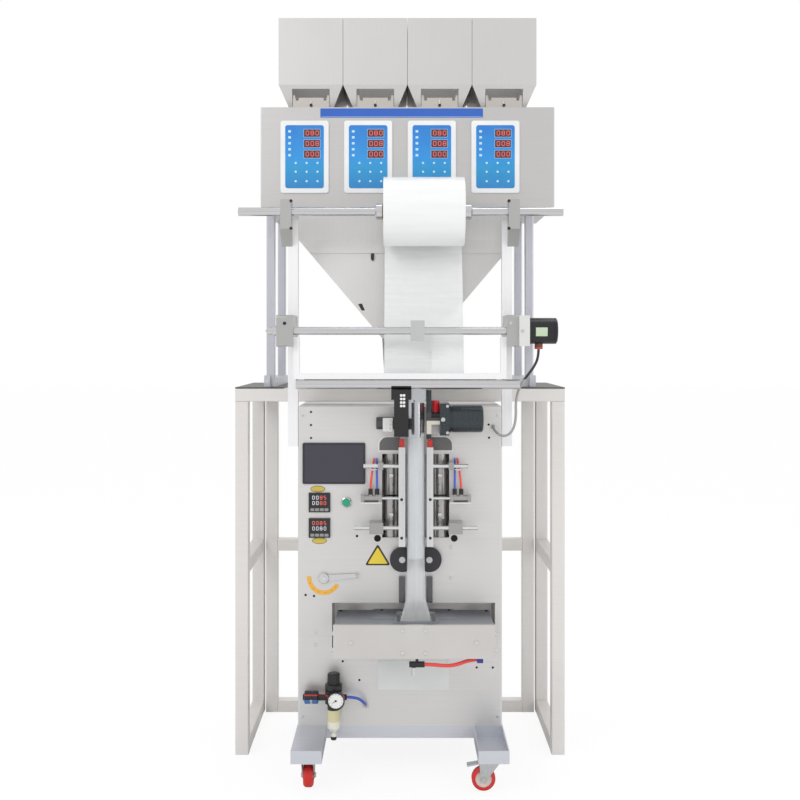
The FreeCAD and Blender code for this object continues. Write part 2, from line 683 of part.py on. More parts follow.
# ================================================================ funnel, chute, forming tube
def make_funnel():
    y = FUNNEL_FRONT + FUNNEL_DEPTH / 2
    mouth = around(WEIGHER_X, y, FUNNEL_WIDTH, FUNNEL_DEPTH)
    outlet_y = FUNNEL_FRONT - OUTLET_FORWARD + OUTLET_DEPTH / 2
    outlet = around(WEIGHER_X, outlet_y, OUTLET_WIDTH, OUTLET_DEPTH)
    mouth_in, outlet_in = inset(mouth, SHEET), inset(outlet, SHEET)
    outer = join(
        frustum(mouth, SKIRT_Z, mouth, WEIGHER_BOTTOM), frustum(outlet, OUTLET_Z, mouth, SKIRT_Z)
    )
    inner = join(
        frustum(mouth_in, SKIRT_Z, mouth_in, WEIGHER_BOTTOM),
        frustum(outlet_in, OUTLET_Z, mouth_in, SKIRT_Z),
    )
    hem = []
    for drop in (HEM_DROP + HEM_HEIGHT, HEM_DROP):
        x0, x1, y0, y1 = blend(mouth, outlet, drop / CONE_HEIGHT)
        hem.append(((x0 + SHEET, x1 - SHEET, y0 - HEM_PROUD, y0 + SHEET / 2), SKIRT_Z - drop))
    (low, z_low), (high, z_high) = hem
    node("collecting_funnel", join(outer, frustum(low, z_low, high, z_high)).cut(inner))

    front = TUBE_Y - TUBE_OD / 2
    x0 = WEIGHER_X - CUP_WIDTH / 2
    cup = (x0, x0 + CUP_WIDTH, front, front + CUP_DEPTH)
    duct = frustum(cup, CUP_TOP, outlet, OUTLET_Z)
    node("transfer_chute", duct.cut(frustum(inset(cup, SHEET), CUP_TOP, outlet_in, OUTLET_Z)))
    make_forming_tube(cup)


def make_forming_tube(cup):
    """The tube that the film is wrapped round, with its cup and the bar that carries it."""
    neck = around(FILM_X, TUBE_Y, TUBE_OD - SHEET, TUBE_OD - SHEET)
    radius = TUBE_OD / 2
    into_cup = CUP_BOTTOM + 4 * SHEET
    outer = join(
        frustum(neck, CUP_BOTTOM, cup, CUP_TOP),
        rod("Z", FORMING_TUBE_END, into_cup, radius, FILM_X, TUBE_Y),
    )
    inner = join(
        frustum(inset(neck, SHEET), CUP_BOTTOM, inset(cup, SHEET), CUP_TOP),
        rod("Z", FORMING_TUBE_END, into_cup, radius - TUBE_WALL, FILM_X, TUBE_Y),
    )
    strut = block(
        FILM_X - STRUT_WIDTH / 2, FILM_X + STRUT_WIDTH / 2, TUBE_Y, CABINET_FRONT,
        TOP - STRUT_DROP, TOP - STRUT_DROP + STRUT_HEIGHT,
    )
    node("forming_tube", join(outer, strut).cut(inner))


def make_film():
    """The film round the forming tube, closing flat towards the jaws."""
    low, high = FORMING_TUBE_END - SOFT_GAP, TOP - STRUT_DROP - FILM_STOP
    inner = FILM_OUTER - FILM_THICKNESS + SOFT_GAP / 2
    sleeve = rod("Z", low, high, FILM_OUTER, FILM_X, TUBE_Y)
    sleeve = sleeve.cut(rod("Z", low - 1, high + 1, inner, FILM_X, TUBE_Y))
    rings = []
    for drop, half_width, half_depth in BAG_SECTIONS:
        centre = V(FILM_X, TUBE_Y, low - drop)
        wide = Part.Ellipse(centre + V(half_width, 0, 0), centre + V(0, half_depth, 0), centre)
        rings.append(Part.Wire(wide.toShape()))
    bag = Part.makeLoft(rings, True, True)
    node("film_sleeve", join(sleeve, bag))


# ================================================================ bagger cabinet and base
def half_round_cover(x, z0, z1):
    """A folded cover with a half-round front, open at the back."""
    y = CABINET_FRONT + COVER_GAP + COVER_RADIUS
    back = CABINET_FRONT + RECESS_DEPTH

    def bulk(radius, start, end):
        nose = rod("Z", start, end, radius, x, y)
        return join(nose, block(x - radius, x + radius, y, back, start, end))

    return bulk(COVER_RADIUS, z0, z1).cut(bulk(COVER_RADIUS - SHEET, z0 - 1, z1 + 1))


def wing_plate(inner, outer):
    """A plate over the recess with its upper outer corner rounded."""
    z0 = RECESS_TOP + WING_LIFT
    z1 = z0 + WING_HEIGHT
    plate = block(inner, outer, CABINET_FRONT - WING_THICKNESS, CABINET_FRONT, z0, z1)
    corner = [
        e for e in plate.Edges
        if abs(e.Curve.Direction.y) > 0.999
        and abs(e.CenterOfMass.x - outer) < 0.01 and e.CenterOfMass.z > z1 - 0.01
    ]
    return plate.makeFillet(WING_RADIUS, corner)


def make_cabinet():
    body = rounded(
        block(-HALF, HALF, CABINET_FRONT, CABINET_BACK, LEG_TOP, TOP), CABINET_EDGE, "Z"
    )
    recess = block(
        FILM_X - RECESS_WIDTH / 2, FILM_X + RECESS_WIDTH / 2,
        CABINET_FRONT - 1, CABINET_FRONT + RECESS_DEPTH, RECESS_BOTTOM, RECESS_TOP,
    )
    bay = block(
        JAW_X - JAW_BAY_WIDTH / 2, JAW_X + JAW_BAY_WIDTH / 2,
        CABINET_FRONT - 1, BAY_BACK, BAY_BOTTOM, BAY_TOP,
    )
    body = body.cut(recess).cut(bay)
    for x, z, radius in PORTS:
        body = body.cut(rod("Y", CABINET_FRONT - 1, CABINET_FRONT + PORT_DEPTH, radius, x, z))
    node("bagger_cabinet", body)
    middle = (RECESS_BOTTOM + RECESS_TOP) / 2
    covers, wings = [], []
    for s in (-1, 1):
        side = FILM_X + s * RECESS_WIDTH / 2
        x = side - s * (COVER_GAP + COVER_RADIUS)
        covers.append(half_round_cover(x, RECESS_BOTTOM, middle - COVER_JOINT / 2))
        covers.append(half_round_cover(x, middle + COVER_JOINT / 2, RECESS_TOP))
        wings.append(wing_plate(FILM_X + s * WING_INNER, side + s * WING_OUT))
    node("sealer_covers", *covers, *wings)


def make_base():
    z0, z1 = CASTER_HEIGHT, LEG_TOP
    outer = HALF + LEG_PROUD
    inner = outer - LEG_WIDTH
    front = CABINET_FRONT - LEG_REACH
    left = block(-outer, -inner, front, CABINET_BACK, z0, z1)
    right = block(inner, outer, front, CABINET_BACK, z0, z1)
    trough = block(
        inner + LEG_WALL, outer - LEG_WALL, front + LEG_WALL, CABINET_FRONT,
        z0 + LEG_WALL, z1 + 1,
    )
    x = outer - LEG_WIDTH / 2
    node("leg_left", join(left, *caster_mounts(-x)))
    node("leg_right", join(right.cut(trough), *caster_mounts(x)))
    bars = [
        block(-inner, inner, y, y + CROSSBAR_DEPTH, z0, z1)
        for y in (CABINET_FRONT, CABINET_BACK - CROSSBAR_DEPTH)
    ]
    node("base_crossbars", *bars)


def caster_rows():
    """Where the front and the rear casters swivel."""
    return (CABINET_FRONT - LEG_REACH + CASTER_SETBACK, CABINET_BACK - CASTER_REAR_INSET)


def caster_mounts(x):
    """The plates and king pins welded under one leg."""
    size = CASTER_PLATE_SIZE / 2
    under = CASTER_HEIGHT - CASTER_PLATE
    pieces = []
    for y in caster_rows():
        pieces.append(block(x - size, x + size, y - size, y + size, under, CASTER_HEIGHT))
        pieces.append(rod("Z", under - SWIVEL_GAP - 0.8 * RACE_HEIGHT, under, CASTER_PIN, x, y))
    return pieces


def make_casters():
    x_leg = HALF + LEG_PROUD - LEG_WIDTH / 2
    front_y, rear_y = caster_rows()
    places = {
        "front_left": (-x_leg, front_y, 0.0),
        "front_right": (x_leg, front_y, 90.0),
        "rear_left": (-x_leg, rear_y, 0.0),
        "rear_right": (x_leg, rear_y, 0.0),
    }
    for name, (x, y, turn) in places.items():
        fork = caster_fork(x, y, name == "front_right")
        wheel = caster_wheel(x, y + CASTER_TRAIL)
        for part in (fork, wheel):
            part.rotate(V(x, y, 0), DIRECTIONS["Z"], turn)
        node("caster_fork_" + name, fork)
        node("caster_wheel_" + name, wheel)


def caster_fork(x, y, braked):
    """Race, crown and two cheeks, drawn trailing to the back of the swivel axis."""
    radius = WHEEL_DIAMETER / 2
    cheek = WHEEL_WIDTH / 2 + FORK_GAP
    top = CASTER_HEIGHT - CASTER_PLATE - SWIVEL_GAP
    crown_top = top - RACE_HEIGHT
    crown_low = crown_top - FORK_SHEET - 0.5
    axle_y = y + CASTER_TRAIL
    reach = axle_y + radius / 2 - 4
    race = turned("Z", x, y, [
        (crown_top, RACE_RADIUS - 3), (crown_top + 4, RACE_RADIUS), (top - 2, RACE_RADIUS),
        (top, RACE_RADIUS - 2),
    ])
    crown = block(x - cheek - FORK_SHEET, x + cheek + FORK_SHEET, y - RACE_RADIUS, reach,
                  crown_low, crown_top)
    cheeks = []
    for s in (-1, 1):
        inner = x + s * cheek
        outline = [
            (inner, y - RACE_RADIUS + 2, crown_low), (inner, reach, crown_low),
            (inner, axle_y + HUB_RADIUS - 1, radius), (inner, axle_y - HUB_RADIUS + 1, radius),
        ]
        cheeks.append(extrude(outline, (s * FORK_SHEET, 0, 0)))
        cheeks.append(rod("X", inner, inner + s * FORK_SHEET, HUB_RADIUS, axle_y, radius))
        cheeks.append(rod("X", inner + s * FORK_SHEET, inner + s * (FORK_SHEET + 3),
                          AXLE_DIAMETER * 0.75, axle_y, radius))
    axle = rod("X", x - cheek, x + cheek, AXLE_DIAMETER / 2, axle_y, radius)
    fork = join(race, crown, axle, *cheeks)
    fork = fork.cut(rod("Z", crown_low - 1, top + 1, CASTER_PIN + PIN_CLEARANCE, x, y))
    if braked:
        fork = join(fork, brake_pedal(x, reach, crown_low))
    return fork


def brake_pedal(x, reach, crown_low):
    """The foot lever of the braked caster, over the back of its wheel."""
    half = WHEEL_WIDTH / 2 + FORK_GAP - PEDAL_SIDE
    outline = [
        (x - half, reach - 4, crown_low + 1), (x - half, reach - 4, crown_low - 2),
        (x - half, reach + PEDAL_LENGTH, crown_low - 9),
        (x - half, reach + PEDAL_LENGTH, crown_low - 5),
    ]
    return extrude(outline, (2 * half, 0, 0))


def caster_wheel(x, y):
    """Tyre with broken edges, a web dished on both sides and a hub with its bore."""
    radius, half = WHEEL_DIAMETER / 2, WHEEL_WIDTH / 2
    tyre = chamfered_rod("X", x - half, x + half, radius, y, radius, TYRE_EDGE)
    for s in (-1, 1):
        face, floor = x + s * half, x + s * (half - RIM_DEPTH)
        dish = rod("X", face + s, floor, radius - TYRE_THICKNESS, y, radius)
        tyre = tyre.cut(dish.cut(rod("X", face + s, floor, HUB_RADIUS, y, radius)))
    bore = rod("X", x - half - 1, x + half + 1, AXLE_DIAMETER / 2 + PIN_CLEARANCE, y, radius)
    return tyre.cut(bore)


# ================================================================ film reel, rollers and web
def make_reel():
    radius = REEL_SHAFT / 2
    low = REEL_Z - REEL_BLOCK_BELOW
    front = REEL_Y - REEL_FORWARD
    posts, blocks = [], []
    outer = HALF + POST_WIDTH + REEL_BLOCK_PROUD
    for s in (-1, 1):
        posts.append(block(s * HALF, s * (HALF + POST_WIDTH), CABINET_FRONT,
                           CABINET_FRONT + POST_DEPTH, TOP - POST_DROP, TOP + POST_RISE))
        x0, x1 = s * outer, s * (outer - REEL_BLOCK_WIDTH)
        body = block(x0, x1, front, CABINET_FRONT, low, low + REEL_BLOCK_HEIGHT)
        gusset = extrude(
            [(x0, front, low), (x0, CABINET_FRONT, low), (x0, CABINET_FRONT, low - REEL_GUSSET)],
            (x1 - x0, 0, 0),
        )
        bore = rod("X", x0 + s, x1 - s, radius + PIN_CLEARANCE, REEL_Y, REEL_Z)
        blocks.append(join(body, gusset).cut(bore))
    node("reel_posts", *posts)
    node("reel_blocks", *blocks)
    ends = (-outer - REEL_OVERHANG[0], outer + REEL_OVERHANG[1])
    shaft = chamfered_rod("X", *ends, radius, REEL_Y, REEL_Z, 1.0)
    collars = []
    for start in (ROLL_X0 - CORE_STEP - COLLAR_WIDTH, ROLL_X1 + CORE_STEP):
        collars.append(chamfered_rod("X", start, start + COLLAR_WIDTH, COLLAR_DIAMETER / 2,
                                     REEL_Y, REEL_Z, COLLAR_EDGE))
    node("reel_shaft", join(shaft, *collars))
    roll = join(
        rod("X", ROLL_X0, ROLL_X1, ROLL_DIAMETER / 2, REEL_Y, REEL_Z),
        rod("X", ROLL_X0 - CORE_STEP, ROLL_X1 + CORE_STEP, CORE_DIAMETER / 2, REEL_Y, REEL_Z),
    )
    bore = rod("X", ROLL_X0 - COLLAR_WIDTH, ROLL_X1 + COLLAR_WIDTH, radius, REEL_Y, REEL_Z)
    node("film_roll", roll.cut(bore))


def make_rollers():
    front, rear = ROLLER_Y - BRACKET_REACH, CABINET_FRONT
    z0 = ROLLER_Z - BRACKET_HEIGHT / 2
    z1 = z0 + BRACKET_HEIGHT
    plate = BRACKET_INNER + BRACKET_PLATE
    faces = [plate + width for width in BEARING_WIDTHS]
    radius = ROLLER_DIAMETER / 2
    bore = rod("X", -faces[0] - 1, faces[1] + 1, radius + PIN_CLEARANCE, ROLLER_Y, ROLLER_Z)
    arms = []
    for s, face in zip((-1, 1), faces):
        arm = block(s * BRACKET_INNER, s * plate, front, rear, z0, z1)
        bearing = block(s * plate, s * face, front, ROLLER_Y + BRACKET_REACH, z0, z1)
        bearing = rounded(bearing, BEARING_EDGE, "X")
        arms.append(join(arm, bearing).cut(bore))
    node("roller_brackets", *arms)

    left, right = -faces[0] - ROLLER_TIP, faces[1] + ROLLER_SOCKET - 1
    roller = turned("X", ROLLER_Y, ROLLER_Z, [
        (left, 2.0), (left + 8, radius - 3), (left + 8.01, radius), (right, radius)
    ])
    knurl = turned("X", ROLLER_Y, ROLLER_Z, [
        (-faces[0] - 11, radius + 1), (-faces[0] - 9, radius + 3), (-faces[0] - 1, radius + 3)
    ])
    width, depth, height = CLAMP
    x = FILM_X + CLAMP_OFFSET
    clamp = block(x - width / 2, x + width / 2, ROLLER_Y - depth / 2, ROLLER_Y + depth / 2,
                  ROLLER_Z - height / 2, ROLLER_Z + height / 2)
    split = block(x - width, x + width, ROLLER_Y - depth, ROLLER_Y - radius - 1,
                  ROLLER_Z - 1, ROLLER_Z + 1)
    node("unwind_roller", join(roller, knurl, clamp.cut(split)))
    make_unwind_motor(faces[1])
    make_guide_frame(z0)


def make_unwind_motor(face):
    """Gear housing on the right bearing, motor barrel, end cap and cable terminal."""
    half = MOTOR_DIAMETER / 2
    start = face + GEAR_LENGTH
    gear = block(face, start, ROLLER_Y - half, ROLLER_Y + half,
                 ROLLER_Z - GEAR_HEIGHT / 2, ROLLER_Z + GEAR_HEIGHT / 2)
    end = start + MOTOR_LENGTH
    barrel = turned("X", ROLLER_Y, ROLLER_Z, [
        (start, half), (end - MOTOR_CAP - 2, half), (end - MOTOR_CAP - 1.9, half - 1.5),
        (end - MOTOR_CAP, half - 1.5), (end - MOTOR_CAP + 0.1, half), (end - 3, half),
        (end, half - 4),
    ])
    x = start + TERMINAL_INSET
    terminal = rod("Z", ROLLER_Z - half - TERMINAL_LENGTH, ROLLER_Z, TERMINAL_RADIUS, x, ROLLER_Y)
    socket = rod("X", face - 1, face + ROLLER_SOCKET, ROLLER_DIAMETER / 2 + PIN_CLEARANCE,
                 ROLLER_Y, ROLLER_Z)
    node("unwind_motor", join(gear, barrel, terminal).cut(socket))


def make_guide_frame(bracket_low):
    """The frame under the roller and the bar that turns the film towards the tube."""
    tube, inner = GUIDE_TUBE, BRACKET_INNER
    front, rear = ROLLER_Y - tube / 2, ROLLER_Y + tube / 2
    top = bracket_low + FRAME_OVERLAP
    uprights = [
        block(s * inner, s * (inner - tube), front, rear, GUIDE_FRAME_Z, top) for s in (-1, 1)
    ]
    bar = block(-inner, inner, front, rear, GUIDE_FRAME_Z, GUIDE_FRAME_Z + tube)
    node("guide_frame", rounded(join(bar, *uprights), 1.0, "Y"))
    radius = GUIDE_BAR_DIAMETER / 2
    z = GUIDE_FRAME_Z - radius
    guide = rod("X", -inner - GUIDE_BAR_OUT[0], inner + GUIDE_BAR_OUT[1], radius, ROLLER_Y, z)
    width, depth = LUG
    lugs = []
    for s in (-1, 1):
        x = s * (inner - GUIDE_LUG_INSET)
        lugs.append(block(x - width / 2, x + width / 2, ROLLER_Y - depth / 2,
                          ROLLER_Y + depth / 2, z, GUIDE_FRAME_Z))
    node("film_guide_bar", join(guide, *lugs))
    make_web(z)


def make_web(guide_z):
    """The film, tangent to the back of the roll and to the back of the guide bar."""
    big = ROLL_DIAMETER / 2 + SOFT_GAP
    small = GUIDE_BAR_DIAMETER / 2 + SOFT_GAP
    run_y, run_z = ROLLER_Y - REEL_Y, guide_z - REEL_Z
    run = math.hypot(run_y, run_z)
    lean = (big - small) / run
    side = math.sqrt(1 - lean ** 2)
    n_y = (run_y * lean - run_z * side) / run
    n_z = (run_z * lean + run_y * side) / run
    x = ROLL_X0 + WEB_INSET
    outline = []
    for y, z, reach in (
        (REEL_Y, REEL_Z, big), (REEL_Y, REEL_Z, big + FILM_THICKNESS),
        (ROLLER_Y, guide_z, small + FILM_THICKNESS), (ROLLER_Y, guide_z, small),
    ):
        outline.append((x, y + n_y * reach, z + n_z * reach))
    node("film_web", extrude(outline, (ROLL_WIDTH - 2 * WEB_INSET, 0, 0)))


# ================================================================ sealing
def seal_bar(near, s):
    """One grooved sealing bar with its heater top, guide rods and push rod."""
    z0 = RECESS_TOP + SEAL_BAR_RISE - SEAL_BAR_HEIGHT
    z1 = z0 + SEAL_BAR_HEIGHT
    far = near + s * SEAL_BAR_WIDTH
    front = TUBE_Y - SEAL_BAR_DEPTH / 2
    bar = block(near, far, front, front + SEAL_BAR_DEPTH, z0, z1)
    middle = (near + far) / 2 - s * SEAL_WEB / 2
    groove = block(middle, middle + s * 2, front - 1, front + 2, z0 - 1, z1 + 1)
    heater = block(near + s * 2, far - s * 2, front + 4, front + SEAL_BAR_DEPTH - 4,
                   z1, z1 + HEATER_HEIGHT)
    rods = [
        rod("X", far, far + s * out, SEAL_ROD / 2, TUBE_Y, z)
        for z, out in seal_rods()
    ]
    push = rod("X", far, far + s * (GUIDE_BLOCK_OUT + PUSH_ROD_INTO), PUSH_ROD / 2,
               TUBE_Y, RECESS_BOTTOM + CYLINDER_LIFT)
    return join(bar.cut(groove), heater, push, *rods)


def seal_rods():
    return (
        (RECESS_TOP - UPPER_ROD_DROP, UPPER_ROD_OUT),
        (RECESS_BOTTOM + LOWER_ROD_LIFT, LOWER_ROD_OUT),
    )


def seal_cylinder(far, s):
    """Air cylinder with square ends on an angle shelf, and its two fittings."""
    z = RECESS_BOTTOM + CYLINDER_LIFT
    half = CYLINDER_DIAMETER / 2
    near = far + s * (GUIDE_BLOCK_OUT + CYLINDER_OFFSET)
    end = near + s * CYLINDER_WIDTH
    body = rod("X", near, end, half - 1, TUBE_Y, z)
    ends = [
        block(x, x + s * CYLINDER_END, TUBE_Y - half, TUBE_Y + half, z - half, z + half)
        for x in (near, end - s * CYLINDER_END)
    ]
    shelf = block(near, end, TUBE_Y - half - CYLINDER_SHELF, CABINET_FRONT,
                  z - half - CYLINDER_SHELF, z - half)
    fittings = [
        rod("Z", z, z + half + FITTING[1], FITTING[0] / 2, FILM_X + s * out, TUBE_Y)
        for out in FITTING_OUT
    ]
    bore = rod("X", near - s, end - s * CYLINDER_END, PUSH_ROD / 2 + PIN_CLEARANCE, TUBE_Y, z)
    return join(body, shelf, *ends, *fittings).cut(bore)


def make_sealer():
    blocks = []
    for name, s in (("left", -1), ("right", 1)):
        near = FILM_X + s * (FILM_OUTER + SEAL_GAP)
        far = near + s * SEAL_BAR_WIDTH
        node("seal_bar_" + name, seal_bar(near, s))
        for (z, out), (width, height) in zip(seal_rods(), GUIDE_BLOCKS):
            g0 = far + s * GUIDE_BLOCK_OUT
            g1 = g0 + s * width
            body = block(g0, g1, TUBE_Y - height / 2, CABINET_FRONT, z - height / 2,
                         z + height / 2)
            hole = rod("X", g0 - s, g1 + s, SEAL_ROD / 2 + PIN_CLEARANCE, TUBE_Y, z)
            blocks.append(body.cut(hole))
        blocks.append(seal_cylinder(far, s))
        make_seal_tubes(name, s)
    node("sealer_blocks", *blocks)


def make_seal_tubes(name, s):
    """The two air tubes from the fittings of one seal cylinder back into the cabinet."""
    for colour, points in (("red", RED_SEAL_TUBE), ("blue", BLUE_SEAL_TUBE)):
        route = [(FILM_X + s * x, y, z) for x, y, z in points]
        node("seal_tube_%s_%s" % (name, colour), cord(route, SEAL_TUBE))


def make_pull_wheels():
    back = CABINET_FRONT - PULL_WHEEL_GAP
    front = back - PULL_WHEEL_WIDTH
    z = TOP - PULL_WHEEL_DROP
    radius = PULL_WHEEL_DIAMETER / 2
    for name, s in (("left", -1), ("right", 1)):
        x = FILM_X + s * PULL_WHEEL_PITCH / 2
        wheel = chamfered_rod("Y", front, back, radius, x, z, 1.0)
        boss = rod("Y", front - PULL_HUB_PROUD, CABINET_FRONT - SWIVEL_GAP, PULL_HUB / 2, x, z)
        node("pull_wheel_" + name, join(wheel, boss))


def jaw_beam(x, face, rear, s):
    """A jaw beam with sealing grooves across its face."""
    z0 = BEAM_Z
    half = JAW_BEAM_WIDTH / 2
    beam = block(x - half, x + half, face, rear, z0, z0 + JAW_BEAM_HEIGHT)
    pitch = JAW_BEAM_HEIGHT / (TEETH + 1)
    for i in range(TEETH):
        z = z0 + pitch * (i + 1)
        groove = block(x - half - 1, x + half + 1, face - s, face + s * GROOVE,
                       z - GROOVE / 2, z + GROOVE / 2)
        beam = beam.cut(groove)
    return beam


def make_jaws():
    x0, x1 = JAW_X - JAW_PLATE_WIDTH / 2, JAW_X + JAW_PLATE_WIDTH / 2
    back = JAW_FRONT + JAW_PLATE_THICKNESS
    cover_back = CABINET_FRONT + JAW_COVER_INTO
    plate = block(x0, x1, JAW_FRONT, back, JAW_BOTTOM, JAW_TOP)
    cover = block(x0 + JAW_COVER_SIDE, x1 - JAW_COVER_SIDE, back, cover_back,
                  JAW_TOP - JAW_COVER, JAW_TOP)
    width, depth, thickness = SLOT_PLATE
    collar = block(JAW_X - width / 2, JAW_X + width / 2, cover_back - depth, cover_back,
                   JAW_TOP, JAW_TOP + thickness)
    rim = JAW_SLOT_WIDTH / 2 + SLOT_RIM
    tongue = block(FILM_X - rim, FILM_X + rim, TUBE_Y - JAW_SLOT_AHEAD - SLOT_RIM,
                   cover_back - depth, JAW_TOP, JAW_TOP + thickness)
    slot = block(FILM_X - JAW_SLOT_WIDTH / 2, FILM_X + JAW_SLOT_WIDTH / 2,
                 TUBE_Y - JAW_SLOT_AHEAD, cover_back - JAW_SLOT_REAR,
                 JAW_TOP - JAW_COVER - 1, JAW_TOP + thickness + 1)
    z = JAW_BOTTOM + JAW_ROD_RISE
    places = (JAW_X - JAW_ROD_HALF, JAW_X + JAW_ROD_HALF)
    rods = [rod("Y", back, BAY_BACK - BAY_PLATE - 2, JAW_ROD / 2, x, z) for x in places]
    beam = jaw_beam(FILM_X, TUBE_Y - JAW_FACE_GAP, back, -1)
    front = join(plate, join(cover, collar, tongue).cut(slot), beam, *rods, *jaw_tee(back))
    node("front_jaw", front)

    carrier = block(places[0] - BUSHING_WIDTH / 2, places[1] + BUSHING_WIDTH / 2,
                    BAY_BACK - BAY_PLATE, BAY_BACK, BAY_BOTTOM, z + BUSHING_OVER)
    rear = join(carrier, jaw_beam(FILM_X, TUBE_Y + JAW_FACE_GAP, BAY_BACK - BAY_PLATE, 1))
    for x in places:
        half = BUSHING_WIDTH / 2
        bushing = block(x - half, x + half, BAY_BACK - BUSHING_DEPTH, BAY_BACK - BAY_PLATE,
                        BAY_BOTTOM, z + BUSHING_OVER)
        hole = rod("Y", BAY_BACK - BUSHING_DEPTH - 1, BAY_BACK - BAY_PLATE,
                   JAW_ROD / 2 + PIN_CLEARANCE, x, z)
        rear = join(rear, bushing).cut(hole)
    node("rear_jaw", rear)
    node("jaw_tube", cord(JAW_TUBE_ROUTE, JAW_TUBE))


def jaw_tee(back):
    """The air tee hung under the jaw plate, its nipple, and the elbow behind the plate."""
    length, diameter = JAW_TEE
    x, y, z = JAW_TUBE_ROUTE[0]
    radius = diameter / 2
    run = rod("X", x - length, x - SWIVEL_GAP, radius, y, z)
    hanger = rod("Z", z, JAW_BOTTOM, radius / 2, x - length / 2, y)
    nipple = rod("Z", z - radius - NIPPLE[1], z, NIPPLE[0] / 2, x - 0.7 * length, y)
    end_x, end_y, end_z = JAW_TUBE_ROUTE[-1]
    start = end_x + 2 * SWIVEL_GAP
    elbow = block(start, start + diameter, back, end_y + radius, end_z - radius, end_z + diameter)
    return run, hanger, nipple, elbow


# ================================================================ controls, drive and air set
def make_controls():
    y = CABINET_FRONT
    left = -HALF
    x = left + SCREEN_INSET
    z = TOP - SCREEN_DROP - SCREEN_HEIGHT
    screen = block(x, x + SCREEN_WIDTH, y - SCREEN_THICKNESS, y, z, z + SCREEN_HEIGHT)
    screen = rounded(screen, SCREEN_CORNER, "Y")
    lip = SCREEN_LIP
    screen = screen.cut(block(x + lip, x + SCREEN_WIDTH - lip, y - SCREEN_THICKNESS - 1,
                              y - SCREEN_THICKNESS + 1, z + lip, z + SCREEN_HEIGHT - lip))
    node("touch_screen", screen)
    controllers = []
    x = left + CONTROLLER_INSET
    front = y - CONTROLLER_THICKNESS
    half = CONTROLLER_WIDTH / 2
    for drop in CONTROLLER_DROPS:
        z1 = TOP - drop
        z0 = z1 - CONTROLLER_HEIGHT
        frame = rounded(block(x - half, x + half, front, y, z0, z1), 2.0, "Y")
        rim = CONTROLLER_RIM
        display = block(x - half + rim, x + half - rim, front - 1, front + 1.5,
                        z0 + 3 * rim, z1 - rim)
        controllers.append(frame.cut(display))
    node("temperature_controllers", *controllers)

    bx, bz = left + BUTTON_INSET, TOP - BUTTON_DROP
    bezel = chamfered_rod("Y", y - BEZEL_HEIGHT, y, BUTTON_BEZEL / 2, bx, bz, 1.0)
    bore = rod("Y", y - BEZEL_HEIGHT - 1, y - BEZEL_FLOOR, BUTTON_DIAMETER / 2 + 0.3, bx, bz)
    cap_back = y - BEZEL_FLOOR - BUTTON_TRAVEL
    node("power_button", rod("Y", y - BUTTON_PROUD, cap_back, BUTTON_DIAMETER / 2, bx, bz))
    lx, lz = left + LEVER_INSET, TOP - LEVER_DROP
    pivot = rod("Y", y - BUTTON_PROUD, y, LEVER_PIN, lx, lz)
    node("panel_bosses", bezel.cut(bore), pivot, *spreaders())
    node("adjusting_lever", lever(lx, y, lz))


def spreaders():
    """Two uprights beside the film that hold the spreader fingers."""
    width, depth = SPREADER_SIZE
    z0 = BAY_TOP + SPREADER_LIFT
    posts = []
    for s in (-1, 1):
        x = FILM_X + s * SPREADER_HALF
        post = block(x - width / 2, x + width / 2, CABINET_FRONT - depth, CABINET_FRONT,
                     z0, z0 + SPREADER_HEIGHT)
        step = block(x - s * width, x - s * width / 4, CABINET_FRONT - depth - 1,
                     CABINET_FRONT - depth / 2, z0 - 1, z0 + 0.6 * SPREADER_HEIGHT)
        posts.append(post.cut(step))
    return posts


def lever(x, y, z):
    """Hub, tapered arm and rounded tip, lying a little above level to the right."""
    tip = LEVER_TIP
    hub = chamfered_rod("Y", y - 9, y - 1, LEVER_HUB, x, z, 1.5)
    arm = extrude(
        [(x, y - 7, z - 9), (x + LEVER_LENGTH, y - 7, z - tip),
         (x + LEVER_LENGTH, y - 7, z + tip), (x, y - 7, z + 9)],
        (0, 5, 0),
    )
    end = rod("Y", y - 7, y - 2, tip, x + LEVER_LENGTH, z)
    knob = chamfered_rod("Y", y - 18, y - 2, tip - 1, x + LEVER_LENGTH - 2, z, 1.0)
    hole = rod("Y", y - 20, y, LEVER_PIN + PIN_CLEARANCE, x, z)
    body = join(hub, arm, end, knob).cut(hole)
    body.rotate(V(x, y, z), DIRECTIONS["Y"], -LEVER_REST_ANGLE)
    return body


